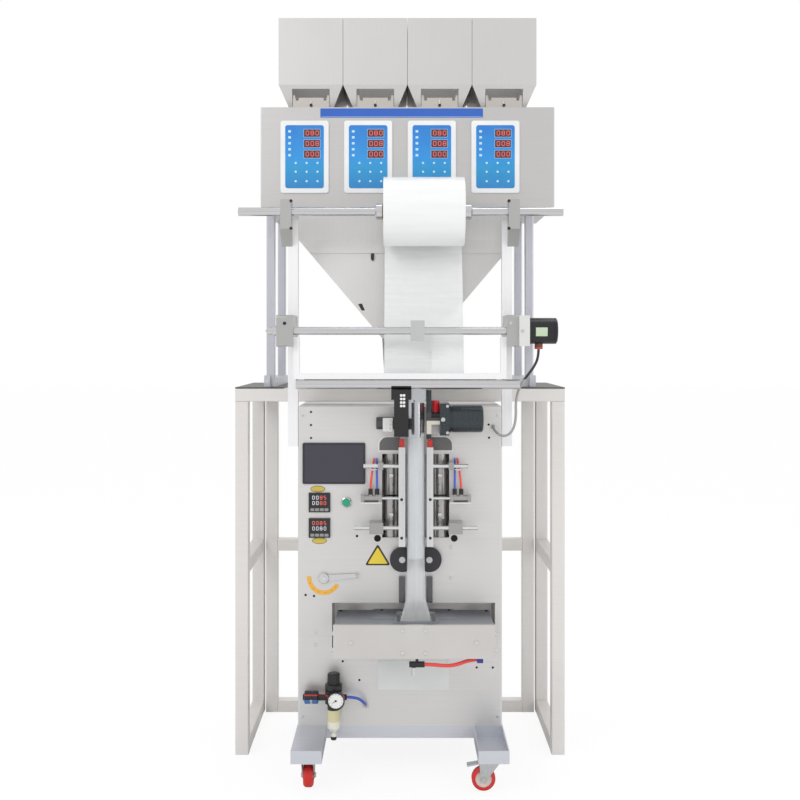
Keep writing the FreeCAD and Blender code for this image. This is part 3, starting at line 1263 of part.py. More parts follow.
def make_drive():
    length, depth, height = DRIVE_GEAR
    m_length, m_diameter = DRIVE_MOTOR
    x = FILM_X + DRIVE_OFFSET
    y, z = CABINET_FRONT - DRIVE_FORWARD, TOP - DRIVE_DROP
    gear = block(x, x + length, y - depth / 2, CABINET_FRONT, z - height / 2, z + height / 2)
    half = m_diameter / 2
    end = x + length + m_length
    motor = turned("X", y, z, [
        (x + length, half), (x + length + 6, half), (x + length + 6.1, half - 2),
        (x + length + 9, half - 2), (x + length + 9.1, half), (end - 4, half), (end, half - 4),
    ])
    box_w, box_d, box_h = DRIVE_BOX
    box = block(x, x - box_w, y - box_d / 2, y + box_d / 2, z - box_h / 2, z + box_h / 2)
    cap = chamfered_rod("Z", z, z + box_h / 2 + CAP_HEIGHT, CAP_RADIUS, x - box_w / 2, y, 2.0)
    plate_w, plate_t, plate_h = SENSOR_PLATE
    plate_y = TUBE_Y - FILM_OUTER - SENSOR_PLATE_GAP
    plate = block(x - box_w, x - box_w - plate_w, plate_y - plate_t, plate_y,
                  z - 0.4 * plate_h, z + 0.6 * plate_h)
    tie = block(x - box_w - 2, x, plate_y - plate_t, y - box_d / 2, z - 14, z + 4)
    node("drive_motor", join(gear, motor, box, cap, plate, tie))

    x = FILM_X + SENSOR_OFFSET
    front = CABINET_FRONT - SENSOR_FORWARD - SENSOR_HEAD[1]
    head_w, head_d, head_h = SENSOR_HEAD
    body_w, body_d, body_h = SENSOR_BODY
    z1 = TOP + SENSOR_RISE
    head = block(x - head_w / 2, x + head_w / 2, front, front + head_d, z1 - head_h, z1)
    body = block(x - body_w / 2, x + body_w / 2, front, front + body_d,
                 z1 - head_h - body_h, z1 - head_h)
    arm_z = z1 - head_h - body_h + SENSOR_ARM / 2
    arm = block(x - SENSOR_ARM / 2, x + SENSOR_ARM / 2, front + body_d, CABINET_FRONT,
                arm_z, arm_z + SENSOR_ARM)
    s_length, s_diameter = SMALL_MOTOR
    s_y = CABINET_FRONT - s_diameter / 2 - SMALL_MOTOR_GAP
    small = chamfered_rod("X", x - SENSOR_ARM / 2 - s_length, x, s_diameter / 2,
                          s_y, arm_z + SENSOR_ARM / 2, 2.0)
    node("mark_sensor", join(head, body, arm, small))


def make_air_set():
    x = -HALF + REGULATOR_INSET
    y = CABINET_FRONT - REGULATOR_FORWARD
    z = LEG_TOP + REGULATOR_LIFT
    body = rounded(block(x - 22, x + 22, y - 20, CABINET_FRONT, z - 24, z + 10), 3.0, "Z")
    ring = turned("Z", x, y, [(z + 10, 22.0), (z + 12, 24.0), (z + 24, 24.0), (z + 26, 22.0)])
    bowl = turned("Z", x, y, [(z - 102, 12.0), (z - 94, 17.0), (z - 30, 17.0), (z - 29.9, 20.0),
                              (z - 24, 20.0)])
    drain = turned("Z", x, y, [(z - 128, 6.0), (z - 126, 8.0), (z - 112, 8.0), (z - 110, 5.0),
                               (z - 102, 5.0)])
    gx, gz = x + GAUGE_OFFSET, z - 11
    gauge = rod("Y", y - 40, y - 20, GAUGE_RADIUS, gx, gz)
    gauge = gauge.cut(rod("Y", y - 41, y - 38, GAUGE_RADIUS - 3, gx, gz))
    pipe_z = z - 11
    inlet = rod("X", x - 84, x - 22, 9.0, y, pipe_z)
    coupling = turned("X", y, pipe_z, [
        (x - 80, 15.0), (x - 78, 18.0), (x - 62, 18.0), (x - 61.9, 16.0), (x - 58, 16.0),
        (x - 57.9, 18.0), (x - 44, 18.0), (x - 42, 15.0),
    ])
    start = AIR_TUBE_ROUTE[0][0]
    outlet = rod("X", x, start - SWIVEL_GAP, 8.0, y, pipe_z)
    pin_top = z + 26 + KNOB_HEIGHT
    pin = rod("Z", z + 26, pin_top - 6, 6.0, x, y)
    node("air_regulator", join(body, ring, bowl, drain, gauge, inlet, coupling, outlet, pin))
    radius = KNOB_DIAMETER / 2
    knob = turned("Z", x, y, [(z + 26 + SWIVEL_GAP, radius), (pin_top - 3, radius),
                              (pin_top, radius - 3)])
    for i in range(KNOB_RIBS):
        angle = 2 * math.pi * i / KNOB_RIBS
        gx, gy = x + radius * math.cos(angle), y + radius * math.sin(angle)
        flute = block(gx - 1.2, gx + 1.2, gy - 1.2, gy + 1.2, z + 25, pin_top + 1)
        flute.rotate(V(gx, gy, 0), DIRECTIONS["Z"], math.degrees(angle))
        knob = knob.cut(flute)
    hole = rod("Z", z + 26, pin_top - 5, 6.0 + PIN_CLEARANCE, x, y)
    node("regulator_knob", knob.cut(hole))
    node("regulator_tube", cord(AIR_TUBE_ROUTE, AIR_TUBE))


def main():
    make_stand()
    make_weigher_frame()
    make_weigher_cabinet()
    make_feed()
    make_funnel()
    make_film()
    make_cabinet()
    make_base()
    make_casters()
    make_reel()
    make_rollers()
    make_sealer()
    make_pull_wheels()
    make_jaws()
    make_controls()
    make_drive()
    make_air_set()
    node("unwind_motor_cable", cord(MOTOR_CABLE_ROUTE, MOTOR_CABLE))
    os.makedirs("parts", exist_ok=True)
    for name, solids in NODES.items():
        shape = solids[0] if len(solids) == 1 else Part.makeCompound(solids)
        shape.exportStep(os.path.join("parts", name + ".step"))
        if not all(s.isValid() for s in solids) or len(shape.Solids) != len(solids):
            print("check", name, len(shape.Solids), [s.isValid() for s in solids])
    print(len(NODES), "nodes")


main()
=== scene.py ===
"""Finishes, panels, trim, cords, floor and lights of the weigher and bagging machine."""

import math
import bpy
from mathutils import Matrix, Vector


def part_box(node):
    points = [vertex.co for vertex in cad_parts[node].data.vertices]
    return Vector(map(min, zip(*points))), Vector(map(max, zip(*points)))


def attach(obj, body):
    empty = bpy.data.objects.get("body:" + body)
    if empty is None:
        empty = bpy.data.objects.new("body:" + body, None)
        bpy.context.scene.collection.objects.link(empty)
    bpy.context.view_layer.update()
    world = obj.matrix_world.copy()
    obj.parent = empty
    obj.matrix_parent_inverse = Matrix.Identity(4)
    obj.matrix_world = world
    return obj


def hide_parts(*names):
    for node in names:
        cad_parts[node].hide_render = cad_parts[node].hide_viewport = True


bl_info = {
    "name": "Weigher and Bagging Machine Finishes",
    "version": (1, 0, 0),
    "blender": (4, 5, 0),
    "location": "View3D > Sidebar > Weigher",
    "description": "Dresses the packed weigher and bagging machine with finishes and small pieces",
    "category": "Object",
}

import bmesh
import bpy
from bpy.props import FloatProperty, FloatVectorProperty, IntProperty, PointerProperty
from mathutils import Matrix, Vector

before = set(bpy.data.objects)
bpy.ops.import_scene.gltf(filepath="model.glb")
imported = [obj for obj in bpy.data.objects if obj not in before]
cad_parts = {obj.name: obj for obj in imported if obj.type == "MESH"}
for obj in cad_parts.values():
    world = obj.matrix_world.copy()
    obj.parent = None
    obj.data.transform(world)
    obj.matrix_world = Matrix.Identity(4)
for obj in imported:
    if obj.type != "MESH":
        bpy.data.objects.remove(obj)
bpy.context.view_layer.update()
MM = 0.001
MACHINE = "machine"


# ---------------------------------------------------------------- shader graph
class Term:
    """An output socket that can be used in plain arithmetic."""

    def __init__(self, graph, socket):
        self.graph = graph
        self.socket = socket

    def _math(self, operation, a, b=None):
        sockets = {0: a} if b is None else {0: a, 1: b}
        return self.graph.node("ShaderNodeMath", {"operation": operation}, sockets)

    def __add__(self, other):
        return self._math("ADD", self, other)

    __radd__ = __add__

    def __sub__(self, other):
        return self._math("SUBTRACT", self, other)

    def __rsub__(self, other):
        return self._math("SUBTRACT", other, self)

    def __mul__(self, other):
        return self._math("MULTIPLY", self, other)

    __rmul__ = __mul__

    def __truediv__(self, other):
        return self._math("DIVIDE", self, other)

    def __gt__(self, other):
        return self._math("GREATER_THAN", self, other)

    def __lt__(self, other):
        return self._math("LESS_THAN", self, other)

    def clipped(self):
        return self.graph.node("ShaderNodeMath", {"operation": "ADD", "use_clamp": True},
                               {0: self, 1: 0.0})

    def wave(self):
        return self._math("SINE", self)

    def root(self):
        return self._math("SQRT", self)


class Graph:
    """The nodes of a new material, or of the world when one is given."""

    def __init__(self, name, world=None):
        self.owner = world or bpy.data.materials.new(name)
        self.owner.use_nodes = True
        self.tree = self.owner.node_tree
        self.tree.nodes.clear()
        self._place = None

    def node(self, kind, settings=None, sockets=None, out=0):
        """Adds a node: its settings come first, then its sockets' values or links."""
        made = self.tree.nodes.new(kind)
        for key, value in (settings or {}).items():
            if key == "stops":
                ramp = made.color_ramp
                while len(ramp.elements) < len(value):
                    ramp.elements.new(1.0)
                for element, (at, colour) in zip(ramp.elements, value):
                    element.position = at
                    element.color = (*colour, 1.0)
            else:
                setattr(made, key, value)
        for key, value in (sockets or {}).items():
            if isinstance(value, Term):
                self.tree.links.new(value.socket, made.inputs[key])
            else:
                made.inputs[key].default_value = value
        return Term(self, made.outputs[out]) if made.outputs else made

    def place(self):
        """Place on the piece, in metres."""
        if self._place is None:
            self._place = self.node("ShaderNodeTexCoord", out="Object")
        return self._place

    def axes(self):
        split = self.node("ShaderNodeSeparateXYZ", sockets={0: self.place()})
        return [Term(self, split.socket.node.outputs[i]) for i in range(3)]

    def stretched(self, scale):
        return self.node("ShaderNodeVectorMath", {"operation": "MULTIPLY"},
                         {0: self.place(), 1: scale})

    def noise(self, scale, detail=3.0, roughness=0.5):
        return self.node("ShaderNodeTexNoise", {}, {
            "Vector": self.stretched(scale), "Scale": 1.0, "Detail": detail,
            "Roughness": roughness,
        })

    def mix(self, factor, a, b):
        """Colour a where factor is 0 and colour b where it is 1."""
        sockets = {0: factor}
        for index, colour in ((6, a), (7, b)):
            sockets[index] = colour if isinstance(colour, Term) else (*colour, 1.0)
        return self.node("ShaderNodeMix", {"data_type": "RGBA"}, sockets, out=2)

    def within(self, x=None, y=None, z=None):
        """1 inside a box given in millimetres, 0 outside it."""
        mask = None
        for value, limits in zip(self.axes(), (x, y, z)):
            if limits is None:
                continue
            low, high = limits
            part = (value > low * MM) * (value < high * MM)
            mask = part if mask is None else mask * part
        return mask

    def bump(self, height, strength, distance=0.0005):
        return self.node("ShaderNodeBump", {}, {
            "Height": height, "Strength": strength, "Distance": distance,
        })

    def surface(self, shader, output="ShaderNodeOutputMaterial"):
        self.node(output, {}, {"Surface": shader})
        return self.owner

    def principled(self, **sockets):
        names = {key.replace("_", " "): value for key, value in sockets.items()}
        for key in ("Base Color", "Emission Color", "Coat Tint"):
            if key in names and not isinstance(names[key], Term):
                names[key] = (*names[key], 1.0)
        return self.node("ShaderNodeBsdfPrincipled", {}, names)


def linear(red, green, blue):
    """A screen colour given as 0-255, as the linear values that shaders take."""
    return tuple(((v / 255 + 0.055) / 1.055) ** 2.4 if v > 10 else v / 3295
                 for v in (red, green, blue))


def shade(colour, factor):
    return tuple(min(1.0, c * factor) for c in colour)


# ---------------------------------------------------------------- finishes
def steel(name, colour, roughness=0.36, brush=(6.0, 420.0, 420.0), metallic=0.9, tone=0.06):
    """Brushed or polished sheet: fine lines along one axis, faint clouding and smudges."""
    graph = Graph(name)
    lines = graph.noise(brush, 3.0, 0.65)
    cloud = graph.noise((3.1, 3.1, 2.3), 4.0)
    smudge = graph.noise((17.0, 17.0, 17.0), 3.0)
    base = graph.mix(cloud, shade(colour, 1 - tone), shade(colour, 1 + tone))
    base = graph.mix((lines - 0.5) * 0.5 + 0.12, base, shade(colour, 0.84))
    rough = roughness + (lines - 0.5) * 0.2 + (smudge - 0.5) * 0.1
    return graph.surface(graph.principled(
        Base_Color=base, Roughness=rough.clipped(), Metallic=metallic,
        Normal=graph.bump(lines, 0.12, 0.0002),
    ))


def moulded(name, colour, roughness=0.45, grain=0.25, coat=0.0, metallic=0.0, size=900.0):
    """Moulded plastic, rubber or paint: fine pitting and slight dulling."""
    graph = Graph(name)
    pits = graph.noise((size, size, size), 2.0)
    cloud = graph.noise((9.0, 9.0, 9.0), 3.0)
    base = graph.mix(cloud, shade(colour, 0.88), shade(colour, 1.1))
    rough = roughness + (cloud - 0.5) * 0.16
    return graph.surface(graph.principled(
        Base_Color=base, Roughness=rough.clipped(), Metallic=metallic, Coat_Weight=coat,
        Coat_Roughness=0.15, Normal=graph.bump(pits, grain, 0.0002),
    ))


def banded(name, ground, patches, roughness=0.4, metallic=0.9, brush=(420.0, 420.0, 420.0)):
    """One piece in several finishes: a patch is (box, colour, roughness, metallic)."""
    graph = Graph(name)
    lines = graph.noise(brush, 3.0)
    cloud = graph.noise((7.0, 7.0, 7.0), 3.0)
    base = graph.mix(cloud, shade(ground, 0.92), shade(ground, 1.06))
    rough, metal = roughness, metallic
    for box, colour, patch_rough, patch_metal in patches:
        mask = graph.within(*box)
        base = graph.mix(mask, base, graph.mix(cloud, shade(colour, 0.9), shade(colour, 1.08)))
        rough = mask * (patch_rough - rough) + rough
        metal = mask * (patch_metal - metal) + metal
    rough = rough + (lines - 0.5) * 0.14
    return graph.surface(graph.principled(
        Base_Color=base, Roughness=rough, Metallic=metal, Normal=graph.bump(lines, 0.1, 0.0002),
    ))


def film(name, colour, alpha, roughness=0.22, wrinkle=(5.0, 5.0, 60.0), strength=0.3):
    """Milky packing film with soft creases."""
    graph = Graph(name)
    creases = graph.noise(wrinkle, 3.0)
    cloud = graph.noise((4.0, 4.0, 4.0), 2.0)
    base = graph.mix(cloud, shade(colour, 0.94), shade(colour, 1.04))
    return graph.surface(graph.principled(
        Base_Color=base, Roughness=(roughness + (creases - 0.5) * 0.2).clipped(),
        Alpha=(alpha + (creases - 0.5) * 0.2).clipped(), Coat_Weight=0.4, Coat_Roughness=0.08,
        Normal=graph.bump(creases, strength, 0.002),
    ))


def turned_finish(name, centre, axis, rings, roughness=0.5, metallic=0.0):
    """Rings of colour about an axle: each ring is (inner radius in mm, colour)."""
    graph = Graph(name)
    place = graph.axes()
    total = None
    for index in range(3):
        if index == axis:
            continue
        offset = place[index] - centre[index] * MM
        total = offset * offset if total is None else total + offset * offset
    radius = total.root()
    cloud = graph.noise((40.0, 40.0, 40.0), 3.0)
    base = graph.mix(cloud, shade(rings[0][1], 0.9), shade(rings[0][1], 1.08))
    for inner, colour in rings[1:]:
        base = graph.mix(radius > inner * MM, base, graph.mix(cloud, shade(colour, 0.9),
                                                              shade(colour, 1.08)))
    scuffs = graph.noise((600.0, 600.0, 600.0), 2.0)
    return graph.surface(graph.principled(
        Base_Color=base, Roughness=(roughness + (cloud - 0.5) * 0.2).clipped(),
        Metallic=metallic, Normal=graph.bump(scuffs, 0.3, 0.0002),
    ))


def lamp(name, colour, strength):
    """A lit segment, slightly uneven in its tint."""
    graph = Graph(name)
    cloud = graph.noise((300.0, 300.0, 300.0), 2.0)
    tint = graph.mix(cloud, shade(colour, 0.8), shade(colour, 1.15))
    return graph.surface(graph.principled(
        Base_Color=tint, Emission_Color=tint, Emission_Strength=strength, Roughness=0.4,
    ))


# ---------------------------------------------------------------- mesh building
class Form:
    """Collects solids, in millimetres, into one piece with one or more finishes."""

    def __init__(self, made, *names):
        self.mesh = bmesh.new()
        self.names = names
        self.finishes = [made[name] for name in names]

    def faces(self, points, faces, finish=None):
        """Adds faces in the finish that is named, or in the first one."""
        index = self.names.index(finish) if finish else 0
        made = [self.mesh.verts.new([v * MM for v in p]) for p in points]
        for face in faces:
            new = self.mesh.faces.new([made[i] for i in face])
            new.material_index = index

    def stack(self, rings, finish=None):
        """Skin over rings of equal length, capped at both ends."""
        count = len(rings[0])
        points = [p for ring in rings for p in ring]
        faces = []
        for level in range(len(rings) - 1):
            for i in range(count):
                j = (i + 1) % count
                a, b = level * count, (level + 1) * count
                faces.append((a + i, a + j, b + j, b + i))
        faces.append(tuple(range(count))[::-1])
        top = (len(rings) - 1) * count
        faces.append(tuple(top + i for i in range(count)))
        self.faces(points, faces, finish)

    def slab(self, outline, back, front, edge=0.6, finish=None):
        """An outline in X and Z, standing from Y back to Y front with a broken front edge."""
        cx = sum(p[0] for p in outline) / len(outline)
        cz = sum(p[1] for p in outline) / len(outline)
        span = max(max(abs(p[0] - cx), abs(p[1] - cz)) for p in outline)
        k = 1 - edge / span
        step = math.copysign(min(edge, abs(front - back) * 0.6), front - back)
        rings = [
            [(x, back, z) for x, z in outline],
            [(x, front - step, z) for x, z in outline],
            [(cx + (x - cx) * k, front, cz + (z - cz) * k) for x, z in outline],
        ]
        self.stack(rings, finish)

    def turned(self, centre, axis, profile, finish=None, count=28):
        """Turned about an axis through centre: each station is (height, radius, sides)."""
        way = Vector(axis).normalized()
        side = way.orthogonal().normalized()
        other = way.cross(side)
        rings = []
        for station in profile:
            height, radius = station[0], station[1]
            sides = station[2] if len(station) > 2 else 0
            ring = []
            for i in range(count):
                angle = 2 * math.pi * i / count
                reach = radius
                if sides:
                    step = 2 * math.pi / sides
                    reach = radius * math.cos(step / 2) / math.cos((angle % step) - step / 2)
                point = Vector(centre) + way * height
                point += (side * math.cos(angle) + other * math.sin(angle)) * max(reach, 0.01)
                ring.append(tuple(point))
            rings.append(ring)
        self.stack(rings, finish)

    def screw(self, x, y, z, radius, height, axis=(0, -1, 0), finish=None):
        """Socket-head screw with a broken edge and a hexagon socket."""
        self.turned((x, y, z), axis, [
            (0, radius), (height - 0.12 * radius, radius), (height, radius * 0.88),
            (height, radius * 0.56, 6), (height * 0.45, radius * 0.54, 6),
        ], finish, count=24)

    def piece(self, name, body=MACHINE):
        """Hands the mesh over as one piece riding on a body."""
        bmesh.ops.recalc_face_normals(self.mesh, faces=self.mesh.faces[:])
        data = bpy.data.meshes.new(name)
        self.mesh.to_mesh(data)
        self.mesh.free()
        made = bpy.data.objects.new(name, data)
        bpy.context.scene.collection.objects.link(made)
        for finish in self.finishes:
            data.materials.append(finish)
        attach(made, body)
        return made


def rounded_outline(x0, x1, z0, z1, radius, steps=5):
    points = []
    corners = ((x1 - radius, z1 - radius, 0), (x0 + radius, z1 - radius, 90),
               (x0 + radius, z0 + radius, 180), (x1 - radius, z0 + radius, 270))
    for cx, cz, start in corners:
        for i in range(steps + 1):
            angle = math.radians(start + 90 * i / steps)
            points.append((cx + radius * math.cos(angle), cz + radius * math.sin(angle)))
    return points


def ellipse_outline(x, z, across, up, count=36):
    angles = [2 * math.pi * i / count for i in range(count)]
    return [(x + across * math.cos(angle), z + up * math.sin(angle)) for angle in angles]


def edges(node):
    """Lowest and highest corner of a node, in millimetres."""
    low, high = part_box(node)
    return [v / MM for v in low], [v / MM for v in high]


def finish_node(name, material):
    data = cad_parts[name].data
    data.materials.clear()
    data.materials.append(material)


# ---------------------------------------------------------------- finishes by piece
def make_finishes(look):
    """Every finish of the machine, by name."""
    paint, sheet = tuple(look.stand_colour), tuple(look.sheet_colour)
    return {
        "stand": steel("StandTube", paint, 0.42, (9.0, 9.0, 260.0), 0.35, 0.04),
        # Deck plates: the near-black colour is a painted dark reflection on the plate tops, not
        # the steel's own colour.
        "deck": steel("DeckPlatePaintedReflection", (0.10, 0.095, 0.09), 0.4, (6.0, 300.0, 300.0), 0.75),
        "column": steel("WeigherColumn", (0.62, 0.62, 0.68), 0.3, (300.0, 300.0, 6.0)),
        "weigher": steel("WeigherSheet", shade(sheet, 0.86), 0.44, (4.0, 380.0, 380.0), 0.8),
        "hopper": steel("HopperSheet", shade(sheet, 0.98), 0.4, (300.0, 300.0, 5.0), 0.85),
        "tray": steel("TraySheet", (0.62, 0.58, 0.54), 0.33, (5.0, 300.0, 300.0)),
        "panel": moulded("PanelFrame", (0.86, 0.87, 0.88), 0.35, 0.1, 0.3),
        "funnel": steel("FunnelSheet", shade(sheet, 1.02), 0.42, (300.0, 300.0, 5.0), 0.8),
        "chute": steel("ChuteSheet", (0.44, 0.44, 0.46), 0.24, (300.0, 300.0, 5.0)),
        "tube": steel("FormingTube", (0.62, 0.64, 0.67), 0.2, (300.0, 300.0, 4.0)),
        "cabinet": steel("CabinetSheet", shade(sheet, 1.04), 0.43, (4.0, 380.0, 380.0), 0.75),
        "cover": steel("SealerCover", (0.50, 0.49, 0.48), 0.26, (300.0, 300.0, 5.0)),
        "base": steel("BaseFrame", (0.66, 0.68, 0.73), 0.42, (6.0, 300.0, 300.0), 0.7),
        "zinc": steel("ZincSteel", (0.56, 0.57, 0.58), 0.3, (60.0, 60.0, 60.0)),
        "post": steel("ReelPost", (0.90, 0.90, 0.91), 0.45, (300.0, 300.0, 5.0), 0.15, 0.03),
        "block": steel("MachinedBlock", (0.50, 0.50, 0.49), 0.34, (240.0, 240.0, 240.0), 0.85),
        "chrome": steel("GroundShaft", (0.66, 0.66, 0.67), 0.16, (500.0, 20.0, 20.0), 1.0, 0.03),
        "bar": steel("SealingBar", (0.72, 0.73, 0.73), 0.24, (300.0, 300.0, 5.0)),
        "black": moulded("BlackPlastic", (0.018, 0.018, 0.02), 0.42),
        "black_gloss": moulded("BlackGlossPlastic", (0.012, 0.012, 0.014), 0.2, 0.1, 0.4),
        "wheel": moulded("PullWheelRubber", (0.030, 0.029, 0.036), 0.55, 0.4),
        "screen": moulded("ScreenFrame", (0.026, 0.024, 0.035), 0.3, 0.05, 0.3),
        "glass": moulded("ScreenGlass", (0.030, 0.027, 0.045), 0.12, 0.02, 0.8),
        "blue": moulded("TitleBlue", (0.018, 0.115, 0.52), 0.3, 0.05, 0.4),
        "membrane": membrane_finish(),
        "pale": moulded("PaleLegend", (0.55, 0.78, 0.95), 0.4, 0.05),
        "red_lamp": lamp("RedSegments", (0.75, 0.12, 0.09), 0.55),
        "window": moulded("DisplayWindow", (0.06, 0.012, 0.02), 0.15, 0.02, 0.7),
        "window_rim": moulded("DisplayRim", (0.35, 0.52, 0.78), 0.4, 0.05),
        "digit_white": lamp("WhiteSegments", (0.72, 0.74, 0.80), 0.35),
        "grey_key": moulded("GreyKey", (0.30, 0.29, 0.29), 0.45),
        "yellow": moulded("YellowPlate", (0.62, 0.47, 0.07), 0.38, 0.1, 0.3),
        "sign_yellow": moulded("YellowSheet", (0.86, 0.66, 0.045), 0.4, 0.08, 0.2),
        "amber": moulded("AmberScale", (0.90, 0.46, 0.045), 0.35, 0.08, 0.4),
        "dark_line": moulded("DarkEdge", (0.05, 0.03, 0.02), 0.45, 0.05),
        # Near-black discs: painted shade standing in for the dark insides of open holes.
        "hole": moulded("PaintedHoleShade", (0.006, 0.006, 0.006), 0.8, 0.0),
        "green": moulded("GreenButton", (0.0, 0.36, 0.20), 0.28, 0.03, 0.6),
        "red": moulded("RedPlastic", (0.62, 0.02, 0.03), 0.32, 0.1, 0.4),
        "white": moulded("WhitePlastic", (0.86, 0.86, 0.85), 0.4, 0.1),
        "tube_red": moulded("RedHose", (0.82, 0.06, 0.05), 0.3, 0.08, 0.4),
        "tube_blue": moulded("BlueHose", (0.05, 0.10, 0.55), 0.3, 0.08, 0.4),
        "wing": steel("WingPlate", (0.17, 0.17, 0.17), 0.45, (60.0, 60.0, 60.0), 0.6),
        "bright": steel("BrightScrew", (0.70, 0.70, 0.69), 0.22, (80.0, 80.0, 80.0), 1.0, 0.03),
        "dark_screw": steel("DarkScrew", (0.05, 0.05, 0.055), 0.35, (80.0, 80.0, 80.0), 0.7),
        "teal": moulded("MotorBand", (0.03, 0.20, 0.24), 0.3, 0.05, 0.4),
        "label": moulded("BarePlate", (0.80, 0.83, 0.82), 0.4, 0.04),
        "pale_label": moulded("PaleGreenPlate", (0.55, 0.66, 0.48), 0.4, 0.04),
        "rim": moulded("WhiteRim", (0.82, 0.82, 0.80), 0.35, 0.05),
        "dial": moulded("DialFace", (0.86, 0.86, 0.84), 0.3, 0.02, 0.5),
        "sleeve": film("FilmSleeve", (0.90, 0.92, 0.94), look.film_opacity * 0.55, 0.14,
                       (60.0, 60.0, 4.0)),
        "web": film("FilmWeb", (0.93, 0.94, 0.94), look.film_opacity, 0.3),
        "roll": roll_finish(),
        "cable": two_tone_cable(),
    }


def membrane_finish():
    """Keypad skin: bright blue at the top passing into a greener blue at the keys."""
    graph = Graph("PanelMembrane")
    low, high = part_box("control_panels")
    height = (graph.axes()[2] - low[2]) / (high[2] - low[2])
    cloud = graph.noise((30.0, 30.0, 30.0), 2.0)
    base = graph.node("ShaderNodeValToRGB", {"stops": (
        (0.0, linear(22, 116, 190)), (0.35, linear(28, 148, 205)), (0.5, linear(30, 142, 222)),
        (0.9, linear(28, 116, 205)),
    )}, {0: height})
    base = graph.mix(cloud * 0.35, base, linear(60, 170, 230))
    return graph.surface(graph.principled(
        Base_Color=base, Roughness=(0.3 + cloud * 0.1), Coat_Weight=0.3, Coat_Roughness=0.1,
        Normal=graph.bump(cloud, 0.04, 0.0002),
    ))


CORE_RADIUS = 41.5
LAYERS_PER_METRE = 5200.0


def roll_finish():
    """The wound film: milky with fine layers at its ends, and a card core."""
    graph = Graph("FilmRoll")
    low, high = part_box("film_roll")
    y, z = graph.axes()[1:]
    dy = y - (low[1] + high[1]) / 2
    dz = z - (low[2] + high[2]) / 2
    radius = (dy * dy + dz * dz).root()
    layers = (radius * LAYERS_PER_METRE).wave()
    creases = graph.noise((3.0, 40.0, 40.0), 3.0)
    base = graph.mix(creases, (0.82, 0.84, 0.84), (0.94, 0.95, 0.95))
    base = graph.mix(radius < CORE_RADIUS * MM, base, (0.42, 0.33, 0.24))
    return graph.surface(graph.principled(
        Base_Color=base, Roughness=(0.26 + creases * 0.2).clipped(), Coat_Weight=0.5,
        Coat_Roughness=0.1, Normal=graph.bump(layers * 0.2 + creases, 0.25, 0.0006),
    ))


CABLE_CHANGE = 1088


def two_tone_cable():
    """Black from the motor down to the frame, pale grey below."""
    graph = Graph("UnwindCable")
    height = graph.axes()[2]
    cloud = graph.noise((120.0, 120.0, 120.0), 2.0)
    base = graph.mix(height > CABLE_CHANGE * MM, (0.42, 0.42, 0.42), (0.02, 0.02, 0.022))
    base = graph.mix(cloud * 0.3, base, (0.10, 0.10, 0.10))
    return graph.surface(graph.principled(
        Base_Color=base, Roughness=(0.4 + cloud * 0.15), Normal=graph.bump(cloud, 0.1, 0.0002),
    ))


NODE_FINISH = {
    "stand_posts": "stand", "stand_side_rails": "stand", "stand_cross_rails": "stand",
    "deck_plates": "deck", "weigher_base_rails": "base", "weigher_columns": "column",
    "weigher_cabinet": "weigher", "feed_hoppers": "hopper", "feed_trays": "tray",
    "control_panels": "panel", "collecting_funnel": "funnel", "transfer_chute": "chute",
    "forming_tube": "tube", "bagger_cabinet": "cabinet", "sealer_covers": "cover",
    "leg_left": "base", "leg_right": "base", "base_crossbars": "base",
    "reel_posts": "post", "reel_blocks": "block", "reel_shaft": "chrome", "film_roll": "roll",
    "film_web": "web", "film_sleeve": "sleeve", "roller_brackets": "block",
    "unwind_roller": "chrome", "guide_frame": "post", "film_guide_bar": "chrome",
    "rear_jaw": "bar", "touch_screen": "screen", "temperature_controllers": "black_gloss",
    "power_button": "green", "adjusting_lever": "chrome", "regulator_knob": "black",
    "pull_wheel_left": "wheel", "pull_wheel_right": "wheel",
}


def axle(node):
    """Centre of a wheel or roller, in millimetres."""
    low, high = edges(node)
    return [(a + b) / 2 for a, b in zip(low, high)]


